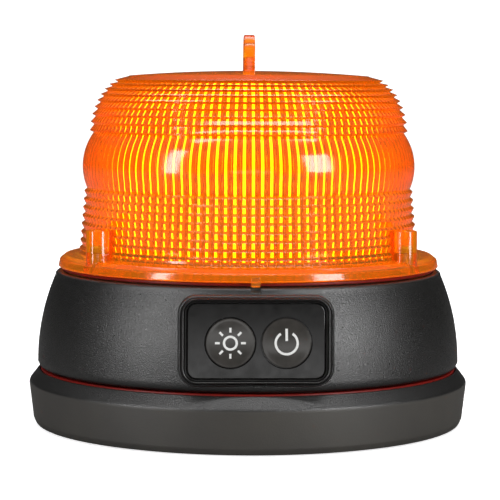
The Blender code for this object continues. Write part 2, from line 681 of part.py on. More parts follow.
def housing():
    """The battery housing: a bowed shell under a deck, with the panel's pad on its front."""
    shell = turned("housing", housing_outline(), BLACK_ABS, parent=HOUSING_AXIS)

    pad = bmesh.new()
    block(pad, PANEL_WIDTH, PANEL_HEIGHT, -PANEL_DEPTH, 0, PANEL_CORNER, PANEL_PLACE)
    combine(shell, operand("panel_pad", pad), "UNION")

    bore = bmesh.new()
    clear_radius = SKIRT_RADIUS - 0.00005
    drum(bore, 0, 0, clear_radius, HOUSING_FOOT_Z - 0.0006, LUG_Z + 0.0038, LARGE_STEPS)
    combine(shell, operand("lock_bore", bore), "DIFFERENCE")

    pockets = bmesh.new()
    pocket = (PANEL_WIDTH - 2 * POCKET_MARGIN, PANEL_HEIGHT - 2 * POCKET_MARGIN)
    block(pockets, *pocket, -POCKET_DEPTH, 0.0050, PANEL_CORNER - 0.0005, PANEL_PLACE)
    box(
        pockets,
        (-REAR_POCKET_WIDTH / 2, -REAR_POCKET_HEIGHT / 2, REAR_POCKET_Z - REAR_POCKET_LENGTH),
        (REAR_POCKET_WIDTH / 2, REAR_POCKET_HEIGHT / 2, REAR_POCKET_Z),
        PANEL_PLACE,
    )
    combine(shell, operand("panel_pockets", pockets), "DIFFERENCE")

    fittings = lock_ledges()
    pillar_foot = DECK_UNDER_Z + 0.0006 - PILLAR_LENGTH
    for x, y, _ in boss_places():
        drum(fittings, x, y, PILLAR_RADIUS, pillar_foot, DECK_UNDER_Z + 0.0006)
    for side in (1, -1):
        post_foot = DECK_TOP_Z - PLAY
        drum(fittings, side * POST_X, side * POST_Y, POST_RADIUS, post_foot, DECK_TOP_Z + POST_HEIGHT)
        drum(
            fittings,
            side * PANEL_POST_X,
            0,
            PANEL_POST_RADIUS,
            SWITCH_BOARD_Z + GAP,
            REAR_POCKET_Z + 0.0005,
            space=PANEL_PLACE,
        )
    combine(shell, operand("pillars_and_ledges", fittings), "UNION")
    combine(shell, operand("lock_stops", lock_stops()), "UNION")

    wells = bmesh.new()
    well_radius = BUTTON_RADIUS + BUTTON_FLANGE + PLAY
    into_pocket = -POCKET_DEPTH + 0.0008
    drum(
        wells,
        BUTTON_X,
        DISC_SHIFT_Y,
        well_radius,
        BUTTON_WELL_Z,
        into_pocket,
        MEDIUM_STEPS,
        PANEL_PLACE,
    )
    sensor_low = REAR_POCKET_Z - 0.0015
    sensor_hole = (SENSOR_X, DISC_SHIFT_Y, SENSOR_HOLE_RADIUS)
    drum(wells, *sensor_hole, sensor_low, into_pocket, space=PANEL_PLACE)
    combine(shell, operand("panel_wells", wells), "DIFFERENCE")

    holes = bmesh.new()
    stem_radius = BUTTON_STEM_RADIUS + PLAY
    stem_high = BUTTON_WELL_Z + 0.0012
    drum(holes, BUTTON_X, DISC_SHIFT_Y, stem_radius, sensor_low, stem_high, space=PANEL_PLACE)
    for x, y, _ in boss_places():
        drum(holes, x, y, LENS_SCREW_RADIUS + GAP, pillar_foot + 0.0020, DECK_TOP_Z + 0.0012)
    for side in (1, -1):
        radius = BOARD_SCREW_RADIUS + GAP
        top = DECK_TOP_Z + POST_HEIGHT + 0.0005
        drum(holes, side * POST_X, side * POST_Y, radius, DECK_TOP_Z - 0.0020, top)
        radius = PANEL_SCREW_RADIUS + GAP
        low = SWITCH_BOARD_Z - 0.0004
        drum(holes, side * PANEL_POST_X, 0, radius, low, REAR_POCKET_Z - PLAY, space=PANEL_PLACE)
    box(
        holes,
        (-WINDOW_X / 2, WINDOW_PLACE_Y - WINDOW_Y / 2, DECK_UNDER_Z - 0.0020),
        (WINDOW_X / 2, WINDOW_PLACE_Y + WINDOW_Y / 2, DECK_TOP_Z + 0.0020),
    )
    notch_back = FLANGE_RADIUS - PLAY
    box(
        holes,
        (-NOTCH_HALF_WIDTH, -FLANGE_RADIUS - 0.0020, DECK_TOP_Z - 0.0020),
        (NOTCH_HALF_WIDTH, -notch_back, DECK_TOP_Z + GAP),
    )
    combine(shell, operand("housing_holes", holes), "DIFFERENCE")


# --- Lens ---


def bulge_arc(count, inset=0.0):
    """The clear bulge: an arc of BULGE_RADIUS through its two ends, from the top down."""
    top = Vector((FLANGE_RADIUS - BULGE_TOP_SETBACK, LENS_TOP_Z - BULGE_TOP_DROP))
    foot = Vector((FLANGE_RADIUS - BULGE_FOOT_SETBACK, FLANGE_Z + BULGE_FOOT_RISE))
    chord = foot - top
    inwards = Vector((chord.y, -chord.x)).normalized()
    sag = math.sqrt(BULGE_RADIUS**2 - (chord.length / 2) ** 2)
    centre = (top + foot) / 2 + inwards * sag
    start = math.atan2(top.y - centre.y, top.x - centre.x)
    end = math.atan2(foot.y - centre.y, foot.x - centre.x)
    angles = [start + (end - start) * i / count for i in range(count + 1)]
    reach = BULGE_RADIUS - inset
    return [(centre.x + reach * math.cos(a), centre.y + reach * math.sin(a)) for a in angles]


def upper_ridge(index):
    """The tip of an upper ridge, on an ellipse that rounds the dome's shoulder."""
    drop = UPPER_PITCH * index + UPPER_PITCH_GROWTH * index**2
    height = LENS_TOP_Z - UPPER_START - drop
    down = (height - (LENS_TOP_Z - SHOULDER_DOWN - 0.0017)) / SHOULDER_DOWN
    return DOME_RADIUS + SHOULDER_ACROSS * math.sqrt(1 - down**2), height


def lower_ridge(index):
    """The tip of a lower ridge: evenly spaced, each a little wider than the one above."""
    height = FLANGE_Z + LOWER_START - LOWER_PITCH * index
    drop = LOWER_PITCH * index
    return FLANGE_RADIUS - LOWER_SETBACK + LOWER_FLARE * drop, height


def lens_outline():
    outside = [(0, LENS_TOP_Z), (DOME_RADIUS / 2, LENS_TOP_Z - DOME_CROWN / 4)]
    outside.append((DOME_RADIUS, LENS_TOP_Z - DOME_CROWN))
    for index in range(UPPER_RIDGES):
        radius, height = upper_ridge(index)
        outside.append((radius, height))
        if index < UPPER_RIDGES - 1:
            outside.append((radius - UPPER_DEPTH, height - 0.00075))
    outside += bulge_arc(7)
    for index in range(LOWER_RIDGES):
        radius, height = lower_ridge(index)
        outside.append((radius - LOWER_DEPTH, height + 0.0009))
        outside.append((radius, height))
    flange_top = FLANGE_Z + FLANGE_THICKNESS
    outside += [
        (FLANGE_RADIUS - 0.0068, flange_top + 0.0023),
        (FLANGE_RADIUS - 0.0024, flange_top + 0.0010),
        (FLANGE_RADIUS - 0.0008, flange_top),
        (FLANGE_RADIUS, FLANGE_Z + 0.0018),
        (FLANGE_RADIUS, FLANGE_Z),
        (FLANGE_RADIUS - 0.0022, FLANGE_Z),
        (FLANGE_RADIUS - 0.0022, FLANGE_Z + 0.0020),
        (LENS_SPIGOT_RADIUS + 0.0002, FLANGE_Z + 0.0036),
        (LENS_SPIGOT_RADIUS, DECK_TOP_Z - 0.0010),
        (LENS_SPIGOT_RADIUS - 0.0020, DECK_TOP_Z - 0.0010),
    ]
    inside = [
        (LENS_SPIGOT_RADIUS - 0.0023, FLANGE_Z + 0.0032),
        (FLANGE_RADIUS - BULGE_FOOT_SETBACK - 0.0018, FLANGE_Z + BULGE_FOOT_RISE - 0.0006),
    ]
    inner_bulge = bulge_arc(6, LENS_WALL)
    inside += [inner_bulge[4], inner_bulge[2], inner_bulge[0]]
    for index in (7, 5, 3, 1):
        radius, height = upper_ridge(index)
        inside.append((radius - LENS_WALL, height - 0.0010))
    inside.append((DOME_RADIUS - 0.0021, LENS_TOP_Z - DOME_WALL - 0.0016))
    inside.append((0, LENS_TOP_Z - DOME_WALL))
    return outside + inside


def lens():
    """The amber lens with its flange, screw bosses, key and hanging eyelet in one moulding."""
    shade = turned("lens", lens_outline(), AMBER, parent=HOUSING_AXIS)

    lumps = bmesh.new()
    boss_foot = FLANGE_Z + 0.0002
    for x, y, _ in boss_places():
        drum(lumps, x, y, BOSS_RADIUS, boss_foot, BOSS_TOP_Z, 16)
    eyelet = box(
        lumps,
        (-LOOP_THICKNESS / 2, -LOOP_RADIUS, LENS_TOP_Z - 0.0017),
        (LOOP_THICKNESS / 2, LOOP_RADIUS, LOOP_Z + LOOP_RADIUS),
    )
    top_edges = [
        e
        for e in eyelet
        if min(v.co.z for v in e.verts) > LOOP_Z and abs(e.verts[0].co.x - e.verts[1].co.x) > 0.001
    ]
    bmesh.ops.bevel(
        lumps, geom=top_edges, offset=LOOP_RADIUS - 0.0001, segments=8, profile=0.5, affect="EDGES"
    )
    key_front = -FLANGE_RADIUS - KEY_PROUD
    box(
        lumps,
        (-KEY_HALF_WIDTH, key_front, FLANGE_Z + 0.0001),
        (KEY_HALF_WIDTH, -FLANGE_RADIUS + 0.0005, FLANGE_Z + 0.0017),
    )
    combine(shade, operand("bosses_and_eyelet", lumps), "UNION")

    webs = bmesh.new()
    reach = FLANGE_RADIUS - BOSS_SETBACK
    for _, _, turn in boss_places():
        space = Matrix.Rotation(turn, 4, "Z")
        low = (LENS_SPIGOT_RADIUS - 0.0014, -BOSS_RADIUS + 0.00015, boss_foot + 0.0002)
        high = (reach, BOSS_RADIUS - 0.00015, BOSS_TOP_Z - 0.0002)
        box(webs, low, high, space)
    box(
        webs,
        (-KEY_HALF_WIDTH + 0.0001, key_front + 0.0001, RIM_Z + 0.0002),
        (KEY_HALF_WIDTH - 0.0001, -FLANGE_RADIUS - 0.0001, FLANGE_Z + 0.0004),
    )
    combine(shade, operand("boss_webs", webs), "UNION")

    wells = bmesh.new()
    for x, y, _ in boss_places():
        drum(wells, x, y, LENS_SCREW_HEAD_RADIUS + GAP, SCREW_SEAT_Z, BOSS_TOP_Z + PLAY)
    across = Matrix.Translation((0, 0, LOOP_Z)) @ Matrix.Rotation(math.pi / 2, 4, "Y")
    drum(wells, 0, 0, LOOP_HOLE_RADIUS, -LOOP_THICKNESS, LOOP_THICKNESS, MEDIUM_STEPS, across)
    combine(shade, operand("screw_wells_and_eye", wells), "DIFFERENCE")

    holes = bmesh.new()
    for x, y, _ in boss_places():
        drum(holes, x, y, LENS_SCREW_RADIUS + GAP, FLANGE_Z - 0.0010, SCREW_SEAT_Z + 0.0010)
    combine(shade, operand("lens_screw_holes", holes), "DIFFERENCE")


def lens_gasket():
    outer = FLANGE_RADIUS - GAP
    low = RIM_Z + GAP
    high = low + LENS_GASKET_THICKNESS
    ring("lens_gasket", outer - LENS_GASKET_WIDTH, outer, low, high, RED_SILICONE)


def lens_screws():
    head = (LENS_SCREW_RADIUS, LENS_SCREW_HEAD_RADIUS, LENS_SCREW_HEAD_HEIGHT)
    for number, (x, y, _) in enumerate(boss_places(), 1):
        seat = SCREW_SEAT_Z + GAP
        screw(f"lens_screw_{number}", x, y, seat, head, LENS_SCREW_LENGTH, STEEL, HOUSING_AXIS)


# --- Lamp tower ---


def main_pcb():
    outline = [
        (0, MAIN_BOARD_TOP_Z),
        (MAIN_BOARD_RADIUS, MAIN_BOARD_TOP_Z),
        (MAIN_BOARD_RADIUS, MAIN_BOARD_Z),
        (0, MAIN_BOARD_Z),
    ]
    board = turned("main_pcb", outline, BOARD, parent=HOUSING_AXIS)
    holes = bmesh.new()
    for side in (1, -1):
        low = MAIN_BOARD_Z - 0.0010
        high = MAIN_BOARD_TOP_Z + 0.0010
        drum(holes, side * POST_X, side * POST_Y, BOARD_SCREW_RADIUS + GAP, low, high)
    combine(board, operand("main_pcb_holes", holes), "DIFFERENCE")


def pcb_screws():
    head = (BOARD_SCREW_RADIUS, BOARD_SCREW_HEAD_RADIUS, BOARD_SCREW_HEAD_HEIGHT)
    for number, side in ((1, 1), (2, -1)):
        x, y = side * POST_X, side * POST_Y
        screw(f"pcb_screw_{number}", x, y, TOWER_FOOT_Z, head, BOARD_SCREW_LENGTH, STEEL, HOUSING_AXIS)


def wire_connector():
    body = bmesh.new()
    box(
        body,
        (-CONNECTOR_X / 2, WINDOW_PLACE_Y - CONNECTOR_Y / 2, CONNECTOR_FOOT_Z),
        (CONNECTOR_X / 2, WINDOW_PLACE_Y + CONNECTOR_Y / 2, CONNECTOR_TOP_Z),
    )
    solid("wire_connector", body, WHITE_PLASTIC, HOUSING_AXIS)


def capacitor():
    can = bmesh.new()
    drum(can, *CAPACITOR_PLACE, CAPACITOR_RADIUS, TOWER_FOOT_Z, TOWER_FOOT_Z + CAPACITOR_HEIGHT)
    solid("capacitor", can, CAN, HOUSING_AXIS)


def led_post():
    post = bmesh.new()
    corner_radius = TOWER_APOTHEM / math.cos(math.pi / SIDES)
    drum(post, 0, 0, corner_radius, TOWER_FOOT_Z, TOWER_TOP_Z, SIDES)
    solid("led_post", post, ALUMINIUM, HOUSING_AXIS)


def tower_cap():
    cap = bmesh.new()
    low = TOWER_TOP_Z + GAP
    drum(cap, 0, 0, TOWER_CAP_RADIUS, low, low + TOWER_CAP_THICKNESS, MEDIUM_STEPS)
    solid("tower_cap", cap, ALUMINIUM, HOUSING_AXIS)


def led_sides():
    """A lamp board on each face of the post, with a strip of chips on it."""
    board_low = TOWER_FOOT_Z + LED_FOOT
    board_high = TOWER_TOP_Z - LED_HEADROOM
    board_in = TOWER_APOTHEM + GAP
    strip_in = board_in + LED_BOARD_THICKNESS + GAP
    for number in range(1, SIDES + 1):
        face = Matrix.Rotation(2 * math.pi * number / SIDES, 4, "Z")
        board = bmesh.new()
        box(
            board,
            (board_in, -LED_BOARD_WIDTH / 2, board_low),
            (board_in + LED_BOARD_THICKNESS, LED_BOARD_WIDTH / 2, board_high),
            face,
        )
        solid(f"led_board_{number}", board, WHITE_BOARD, HOUSING_AXIS)
        strip = bmesh.new()
        box(
            strip,
            (strip_in, -LED_STRIP_WIDTH / 2, board_low + STRIP_MARGIN),
            (strip_in + LED_STRIP_THICKNESS, LED_STRIP_WIDTH / 2, board_high - STRIP_MARGIN),
            face,
        )
        solid(f"led_strip_{number}", strip, PHOSPHOR, HOUSING_AXIS)


def reflector():
    """A white cone round the tower that hides the board and throws light outwards."""
    rim_top = TOWER_FOOT_Z + REFLECTOR_RIM
    inner = MAIN_BOARD_RADIUS - REFLECTOR_WALL - 0.0002
    outline = [
        (REFLECTOR_HOLE_RADIUS, rim_top + REFLECTOR_RISE + REFLECTOR_WALL),
        (MAIN_BOARD_RADIUS, rim_top + REFLECTOR_WALL),
        (MAIN_BOARD_RADIUS, TOWER_FOOT_Z),
        (inner, TOWER_FOOT_Z),
        (inner, rim_top),
        (REFLECTOR_HOLE_RADIUS, rim_top + REFLECTOR_RISE),
    ]
    turned("reflector", outline, WHITE_PLASTIC, parent=HOUSING_AXIS)


# --- Control panel ---


def panel_bezel():
    frame = bmesh.new()
    width = PANEL_WIDTH - 2 * BEZEL_MARGIN
    height = PANEL_HEIGHT - 2 * BEZEL_MARGIN
    corner = PANEL_CORNER - BEZEL_MARGIN
    block(frame, width, height, PANEL_BACK_Z, BEZEL_HEIGHT, corner)
    bezel = solid("panel_bezel", frame, RUBBER, PANEL)
    opening = bmesh.new()
    inner = (width - 2 * BEZEL_WIDTH, height - 2 * BEZEL_RAIL)
    low = PANEL_BACK_Z - 0.0010
    block(opening, *inner, low, BEZEL_HEIGHT + 0.0010, corner - BEZEL_WIDTH, PANEL_PLACE)
    combine(bezel, operand("bezel_opening", opening), "DIFFERENCE")


def panel_overlay():
    plate = bmesh.new()
    width = PANEL_WIDTH - 2 * (BEZEL_MARGIN + BEZEL_WIDTH + GAP)
    height = PANEL_HEIGHT - 2 * (BEZEL_MARGIN + BEZEL_RAIL + GAP)
    corner = PANEL_CORNER - BEZEL_MARGIN - BEZEL_WIDTH - GAP
    block(plate, width, height, PANEL_BACK_Z, PANEL_BACK_Z + OVERLAY_THICKNESS, corner)
    overlay = solid("panel_overlay", plate, GLOSS_BLACK, PANEL)
    discs = bmesh.new()
    for x in (SENSOR_X, BUTTON_X):
        low = PANEL_BACK_Z - 0.0010
        drum(discs, x, DISC_SHIFT_Y, BUTTON_RADIUS + GAP, low, 0.0010, MEDIUM_STEPS, PANEL_PLACE)
    combine(overlay, operand("overlay_discs", discs), "DIFFERENCE")


def mode_button():
    flange_z = -POCKET_DEPTH
    foot_z = flange_z - BUTTON_FLANGE_THICKNESS
    outline = [
        (0, BUTTON_PROUD),
        (BUTTON_RADIUS - 0.0005, BUTTON_PROUD - 0.0001),
        (BUTTON_RADIUS, BUTTON_PROUD - 0.0005),
        (BUTTON_RADIUS, flange_z),
        (BUTTON_RADIUS + BUTTON_FLANGE, flange_z),
        (BUTTON_RADIUS + BUTTON_FLANGE, foot_z),
        (BUTTON_STEM_RADIUS, foot_z),
        (BUTTON_STEM_RADIUS, BUTTON_STEM_END),
        (0, BUTTON_STEM_END),
    ]
    turned("mode_button", outline, RUBBER, MEDIUM_STEPS, BUTTON_AXIS)


def switch_plunger():
    plunger = bmesh.new()
    top = BUTTON_STEM_END - GAP
    drum(plunger, 0, 0, PLUNGER_RADIUS, top - PLUNGER_LENGTH, top)
    solid("switch_plunger", plunger, BLACK_NYLON, BUTTON_AXIS)


def sensor_window():
    outline = [
        (0, 0.0002),
        (BUTTON_RADIUS - 0.0004, 0.0001),
        (BUTTON_RADIUS, -0.0002),
        (BUTTON_RADIUS, PANEL_BACK_Z),
        (0, PANEL_BACK_Z),
    ]
    window = turned("sensor_window", outline, GLOSS_BLACK, MEDIUM_STEPS, PANEL)
    window.location = (SENSOR_X, DISC_SHIFT_Y, 0)


def switch_board():
    board = bmesh.new()
    half = Vector((SWITCH_BOARD_WIDTH / 2, SWITCH_BOARD_HEIGHT / 2, 0))
    box(board, (*-half.xy, SWITCH_BOARD_Z - BOARD_THICKNESS), (*half.xy, SWITCH_BOARD_Z))
    plate = solid("switch_board", board, BOARD, PANEL)
    holes = bmesh.new()
    for side in (1, -1):
        low = SWITCH_BOARD_Z - BOARD_THICKNESS - 0.0010
        radius = PANEL_SCREW_RADIUS + GAP
        drum(holes, side * PANEL_POST_X, 0, radius, low, SWITCH_BOARD_Z + 0.0010, space=PANEL_PLACE)
    combine(plate, operand("switch_board_holes", holes), "DIFFERENCE")


def board_screws():
    seat = SWITCH_BOARD_Z - BOARD_THICKNESS - GAP
    head = (PANEL_SCREW_RADIUS, PANEL_SCREW_HEAD_RADIUS, PANEL_SCREW_HEAD_HEIGHT)
    length = REAR_POCKET_Z - 0.0007 - seat
    for number, side in ((1, 1), (2, -1)):
        x = side * PANEL_POST_X
        screw(f"board_screw_{number}", x, 0, seat, head, length, STEEL, PANEL, upwards=True)


def tact_switch():
    body = bmesh.new()
    low = SWITCH_BOARD_Z + GAP
    half = Vector((SWITCH_SIZE / 2, SWITCH_SIZE / 2))
    middle = Vector((BUTTON_X, DISC_SHIFT_Y))
    box(body, (*(middle - half), low), (*(middle + half), low + SWITCH_HEIGHT))
    switch = solid("tact_switch", body, BLACK_NYLON, PANEL)
    bore = bmesh.new()
    high = low + SWITCH_HEIGHT + 0.0010
    drum(bore, *middle, PLUNGER_RADIUS + GAP, low + PLAY, high, space=PANEL_PLACE)
    combine(switch, operand("switch_bore", bore), "DIFFERENCE")


def photo_sensor():
    foot = SWITCH_BOARD_Z + GAP
    outline = [
        (0, foot + SENSOR_HEIGHT),
        (0.7 * SENSOR_RADIUS, foot + SENSOR_HEIGHT - 0.0007),
        (SENSOR_RADIUS, foot + SENSOR_HEIGHT - 0.0018),
        (SENSOR_RADIUS, foot),
        (0, foot),
    ]
    sensor = turned("photo_sensor", outline, GLOSS_BLACK, SMALL_STEPS, PANEL)
    sensor.location = (SENSOR_X, DISC_SHIFT_Y, 0)


# --- Battery pack ---


def cell_x(index):
    return (index - (CELL_COUNT - 1) / 2) * CELL_PITCH


def cell_side(index):
    """-1 where the cell's nub points to the panel, and 1 where it points to the back."""
    return -1 if index % 2 == 0 else 1


def batteries():
    """C cells laid side by side, every other one turned round."""
    foot = CELL_TIP_Y - CELL_LENGTH
    shoulder = CELL_TIP_Y - CELL_NUB_HEIGHT
    outline = [
        (0, CELL_TIP_Y),
        (CELL_NUB_RADIUS, CELL_TIP_Y),
        (CELL_NUB_RADIUS, shoulder),
        (CELL_RADIUS - 0.0012, shoulder),
        (CELL_RADIUS, shoulder - 0.0010),
        (CELL_RADIUS, foot + 0.0006),
        (CELL_RADIUS - 0.0008, foot),
        (0, foot),
    ]
    for index in range(CELL_COUNT):
        cell = turned(f"battery_{index + 1}", outline, CELL_WRAP, MEDIUM_STEPS, HOUSING_AXIS)
        cell.location = (cell_x(index), 0, CELL_Z)
        cell.rotation_euler = (-cell_side(index) * math.pi / 2, 0, 0)


def battery_tray():
    outer_x = TRAY_INSIDE_X + TRAY_WALL_X
    outer_y = TRAY_INSIDE_Y + TRAY_WALL_Y
    shell = bmesh.new()
    block(shell, 2 * outer_x, 2 * outer_y, TRAY_FOOT_Z, TRAY_TOP_Z, TRAY_CORNER)
    tray = solid("battery_tray", shell, BLACK_NYLON, HOUSING_AXIS)
    hollow = bmesh.new()
    ceiling = TRAY_TOP_Z - TRAY_TOP_THICKNESS
    inside = (2 * TRAY_INSIDE_X, 2 * TRAY_INSIDE_Y)
    block(hollow, *inside, TRAY_FOOT_Z - 0.0010, ceiling, TRAY_CORNER - TRAY_WALL_Y)
    combine(tray, operand("tray_hollow", hollow), "DIFFERENCE")
    saddles = bmesh.new()
    half = SADDLE_WIDTH / 2
    for x in ((cell_x(i) + cell_x(i + 1)) / 2 for i in range(CELL_COUNT - 1)):
        low = (x - half, -TRAY_INSIDE_Y - 0.0005, ceiling - SADDLE_DEPTH)
        box(saddles, low, (x + half, TRAY_INSIDE_Y + 0.0005, ceiling + 0.0005))
    slots = bmesh.new()
    for x in (cell_x(0), cell_x(CELL_COUNT - 1)):
        reach = TAB_WIDTH / 2 + PLAY
        box(
            slots,
            (x - reach, -outer_y - 0.0010, TAB_Z - 0.0006),
            (x + reach, -TRAY_INSIDE_Y + 0.0010, TAB_Z + 0.0006),
        )
    combine(tray, operand("tray_slots", slots), "DIFFERENCE")
    combine(tray, operand("tray_saddles", saddles), "UNION")


def contact_springs():
    """A cone of wire at each cell's flat end, pressing it against the next contact."""
    steps = 10 * SPRING_TURNS
    reach = SPRING_LENGTH - SPRING_WIRE
    for index in range(CELL_COUNT):
        side = -cell_side(index)
        points = []
        for step in range(steps + 1):
            share = step / steps
            angle = 2 * math.pi * SPRING_TURNS * share
            radius = SPRING_WIDE_RADIUS + (SPRING_TIP_RADIUS - SPRING_WIDE_RADIUS) * share
            depth = CELL_TIP_Y - SPRING_WIRE / 2 - reach * share
            x = cell_x(index) + radius * math.cos(angle)
            points.append((x, side * depth, CELL_Z + radius * math.sin(angle)))
        spring = wire(f"contact_spring_{index + 1}", points, SPRING_WIRE / 2, NICKEL, 1)
        spring.parent = HOUSING_AXIS


def contact(name, first, last, side):
    """A flat contact on the tray's wall behind the cells from first to last."""
    sheet = bmesh.new()
    face, back = side * CONTACT_Y, side * (CONTACT_Y + CONTACT_THICKNESS)
    half = CONTACT_WIDTH / 2
    low = (cell_x(first) - half, min(face, back), CELL_Z + CONTACT_BOTTOM)
    box(sheet, low, (cell_x(last) + half, max(face, back), CELL_Z + CONTACT_TOP))
    return solid(name, sheet, NICKEL, HOUSING_AXIS)


def terminal(name, index):
    """An end contact with a tab that comes out through the tray's front wall."""
    plate = contact(name, index, index, -1)
    tab = bmesh.new()
    x = cell_x(index)
    outer_y = TRAY_INSIDE_Y + TRAY_WALL_Y
    low = (x - TAB_WIDTH / 2, -outer_y - TAB_LENGTH + PLAY, TAB_Z - CONTACT_THICKNESS / 2)
    high = (x + TAB_WIDTH / 2, -CONTACT_Y - 0.0001, TAB_Z + CONTACT_THICKNESS / 2)
    box(tab, low, high)
    combine(plate, operand(f"{name}_tab", tab), "UNION")


def battery_leads():
    """The red and black leads, from the terminals' tabs along the front into the connector."""
    tab_end = -TRAY_INSIDE_Y - TRAY_WALL_Y - TAB_LENGTH
    plug = Vector((0.0030, WINDOW_PLACE_Y + 0.0010, CONNECTOR_FOOT_Z - PLAY))
    points = [
        (-cell_x(0), tab_end - GAP, TAB_Z),
        (0.0380, -0.0360, TAB_Z + 0.0005),
        (0.0300, -0.0410, TAB_Z + 0.0020),
        (0.0180, -0.0440, TAB_Z + 0.0025),
        (0.0080, -0.0445, TAB_Z + 0.0020),
        (plug.x + 0.0005, plug.y - 0.0015, plug.z - 0.0040),
        tuple(plug),
    ]
    for name, side, material in (
        ("battery_lead_red", -1, RED_WIRE),
        ("battery_lead_black", 1, BLACK_WIRE),
    ):
        route = [(side * x, y, z) for x, y, z in points]
        wire(name, through(route, 4), LEAD_RADIUS, material).parent = HOUSING_AXIS


def switch_cable():
    """The switch board's cable, from the middle of the board's back into the connector."""
    start = PANEL_PLACE @ Vector((0, 0.0060, SWITCH_BOARD_Z - BOARD_THICKNESS - 0.0006))
    end = Vector((0, WINDOW_PLACE_Y - 0.0015, CONNECTOR_FOOT_Z - PLAY))
    points = [
        start,
        (0, start.y + 0.0060, start.z + 0.0012),
        (0, end.y - 0.0034, end.z - 0.0040),
        (0, end.y - 0.0006, end.z - 0.0026),
        end,
    ]
    wire("switch_cable", through(points, 4), CABLE_RADIUS, GREY_WIRE).parent = HOUSING_AXIS


rubber_pad()
magnet()
magnet_plate()
magnet_screw()
base_cover()
base_gasket()
housing()
lens_gasket()
lens()
lens_screws()
main_pcb()
pcb_screws()
wire_connector()
capacitor()
led_post()
tower_cap()
led_sides()
reflector()
panel_bezel()
panel_overlay()
mode_button()
switch_plunger()
sensor_window()
switch_board()
board_screws()
tact_switch()
photo_sensor()
batteries()
battery_tray()
contact_springs()
terminal("terminal_positive", 0)
terminal("terminal_negative", CELL_COUNT - 1)
contact("bridge_front", 1, 2, -1)
contact("bridge_rear_left", 0, 1, 1)
contact("bridge_rear_right", 2, 3, 1)
battery_leads()
switch_cable()
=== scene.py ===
# %% [markdown]
# # A battery warning beacon
# A low round light for barriers and vehicle roofs. An amber dome stands on a black battery
# housing, which twists onto a magnetic foot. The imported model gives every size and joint. This
# lesson puts the fine surfaces and the finishes on it, from the foot up to the eyelet.

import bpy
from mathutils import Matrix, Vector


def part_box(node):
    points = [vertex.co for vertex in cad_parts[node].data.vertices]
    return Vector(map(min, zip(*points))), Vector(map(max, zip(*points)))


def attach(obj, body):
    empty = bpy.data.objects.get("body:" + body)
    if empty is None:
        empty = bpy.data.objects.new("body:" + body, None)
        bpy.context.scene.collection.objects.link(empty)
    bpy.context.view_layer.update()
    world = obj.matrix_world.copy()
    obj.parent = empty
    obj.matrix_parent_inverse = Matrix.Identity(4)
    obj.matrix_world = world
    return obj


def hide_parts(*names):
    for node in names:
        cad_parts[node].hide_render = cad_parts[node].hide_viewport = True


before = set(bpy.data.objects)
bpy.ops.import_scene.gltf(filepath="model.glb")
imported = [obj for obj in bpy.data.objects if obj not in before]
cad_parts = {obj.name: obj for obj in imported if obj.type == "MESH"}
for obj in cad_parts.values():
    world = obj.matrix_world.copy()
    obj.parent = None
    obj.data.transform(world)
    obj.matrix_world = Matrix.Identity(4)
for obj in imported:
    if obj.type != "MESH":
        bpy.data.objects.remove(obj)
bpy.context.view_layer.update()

import math

import bmesh
import bpy
import numpy as np
from mathutils import Matrix, Vector

MM = 0.001

# %% [markdown]
# ## The camera
# It stands level with the dome, about three quarters of a metre away, with a long lens, so that
# the round shapes stay nearly parallel. It is a little to the left of the panel.

# %% Camera
CAMERA_DISTANCE = 0.720
CAMERA_HEIGHT = 0.1175
CAMERA_AZIMUTH = -2.09
CAMERA_AIM = 0.047
CAMERA_TILT = 4.66
CAMERA_ROLL = 0.25
FOCAL_LENGTH = 151.3


def add_camera():
    """Heading, then tilt, then roll, each in the space that the one before leaves."""
    heading = Matrix.Rotation(math.radians(CAMERA_AZIMUTH - CAMERA_AIM), 4, "Z")
    tilt = Matrix.Rotation(math.radians(90 - CAMERA_TILT), 4, "X")
    roll = Matrix.Rotation(math.radians(CAMERA_ROLL), 4, "Z")
    azimuth = math.radians(CAMERA_AZIMUTH)
    place = Vector((math.sin(azimuth), -math.cos(azimuth), 0)) * CAMERA_DISTANCE
    place.z = CAMERA_HEIGHT
    data = bpy.data.cameras.new("beacon_camera")
    data.lens = FOCAL_LENGTH
    data.sensor_width = 36
    camera = bpy.data.objects.new("beacon_camera", data)
    camera.matrix_world = Matrix.Translation(place) @ heading @ tilt @ roll
    bpy.context.scene.collection.objects.link(camera)
    bpy.context.scene.camera = camera


add_camera()

# %% [markdown]
# ## Turning numbers into meshes
# Every new piece is a grid of points: rows that are closed loops, joined to their neighbours.
# A helper makes the faces, another makes the object. Outlines are in millimetres, because that is
# how a maker would give them, and they become metres when the mesh is made.


# %% Colours
def srgb(code):
    """A hex colour as the linear numbers a shader takes, the sRGB curve undone."""
    shown = np.array([int(code[i : i + 2], 16) for i in (1, 3, 5)]) / 255
    linear = np.where(shown <= 0.04045, shown / 12.92, ((shown + 0.055) / 1.055) ** 2.4)
    return (*linear.tolist(), 1.0)


# %% Grids and turned surfaces
def whole_turn(count):
    """Evenly spaced angles round the axis."""
    return np.arange(count) * 2 * np.pi / count


def turn(outline, angles):
    """Each (radius, height) goes round Z: x = r cos a, y = r sin a. Rows are loops."""
    outline = np.asarray(outline, float)
    radius, height = outline[:, 0, None], outline[:, 1, None]
    return np.stack([radius * np.cos(angles), radius * np.sin(angles), height + 0 * angles], -1)


def grid_faces(rows, columns, joined=False, start=0):
    """Four-sided faces between neighbouring loops. joined also joins the last row to the first."""
    row = np.arange(rows if joined else rows - 1)[:, None]
    column = np.arange(columns)[None]
    after, beside = (row + 1) % rows, (column + 1) % columns
    corners = [row * columns + column, row * columns + beside, after * columns + beside]
    corners.append(after * columns + column)
    return (start + np.stack(corners, -1).reshape(-1, 4)).tolist()


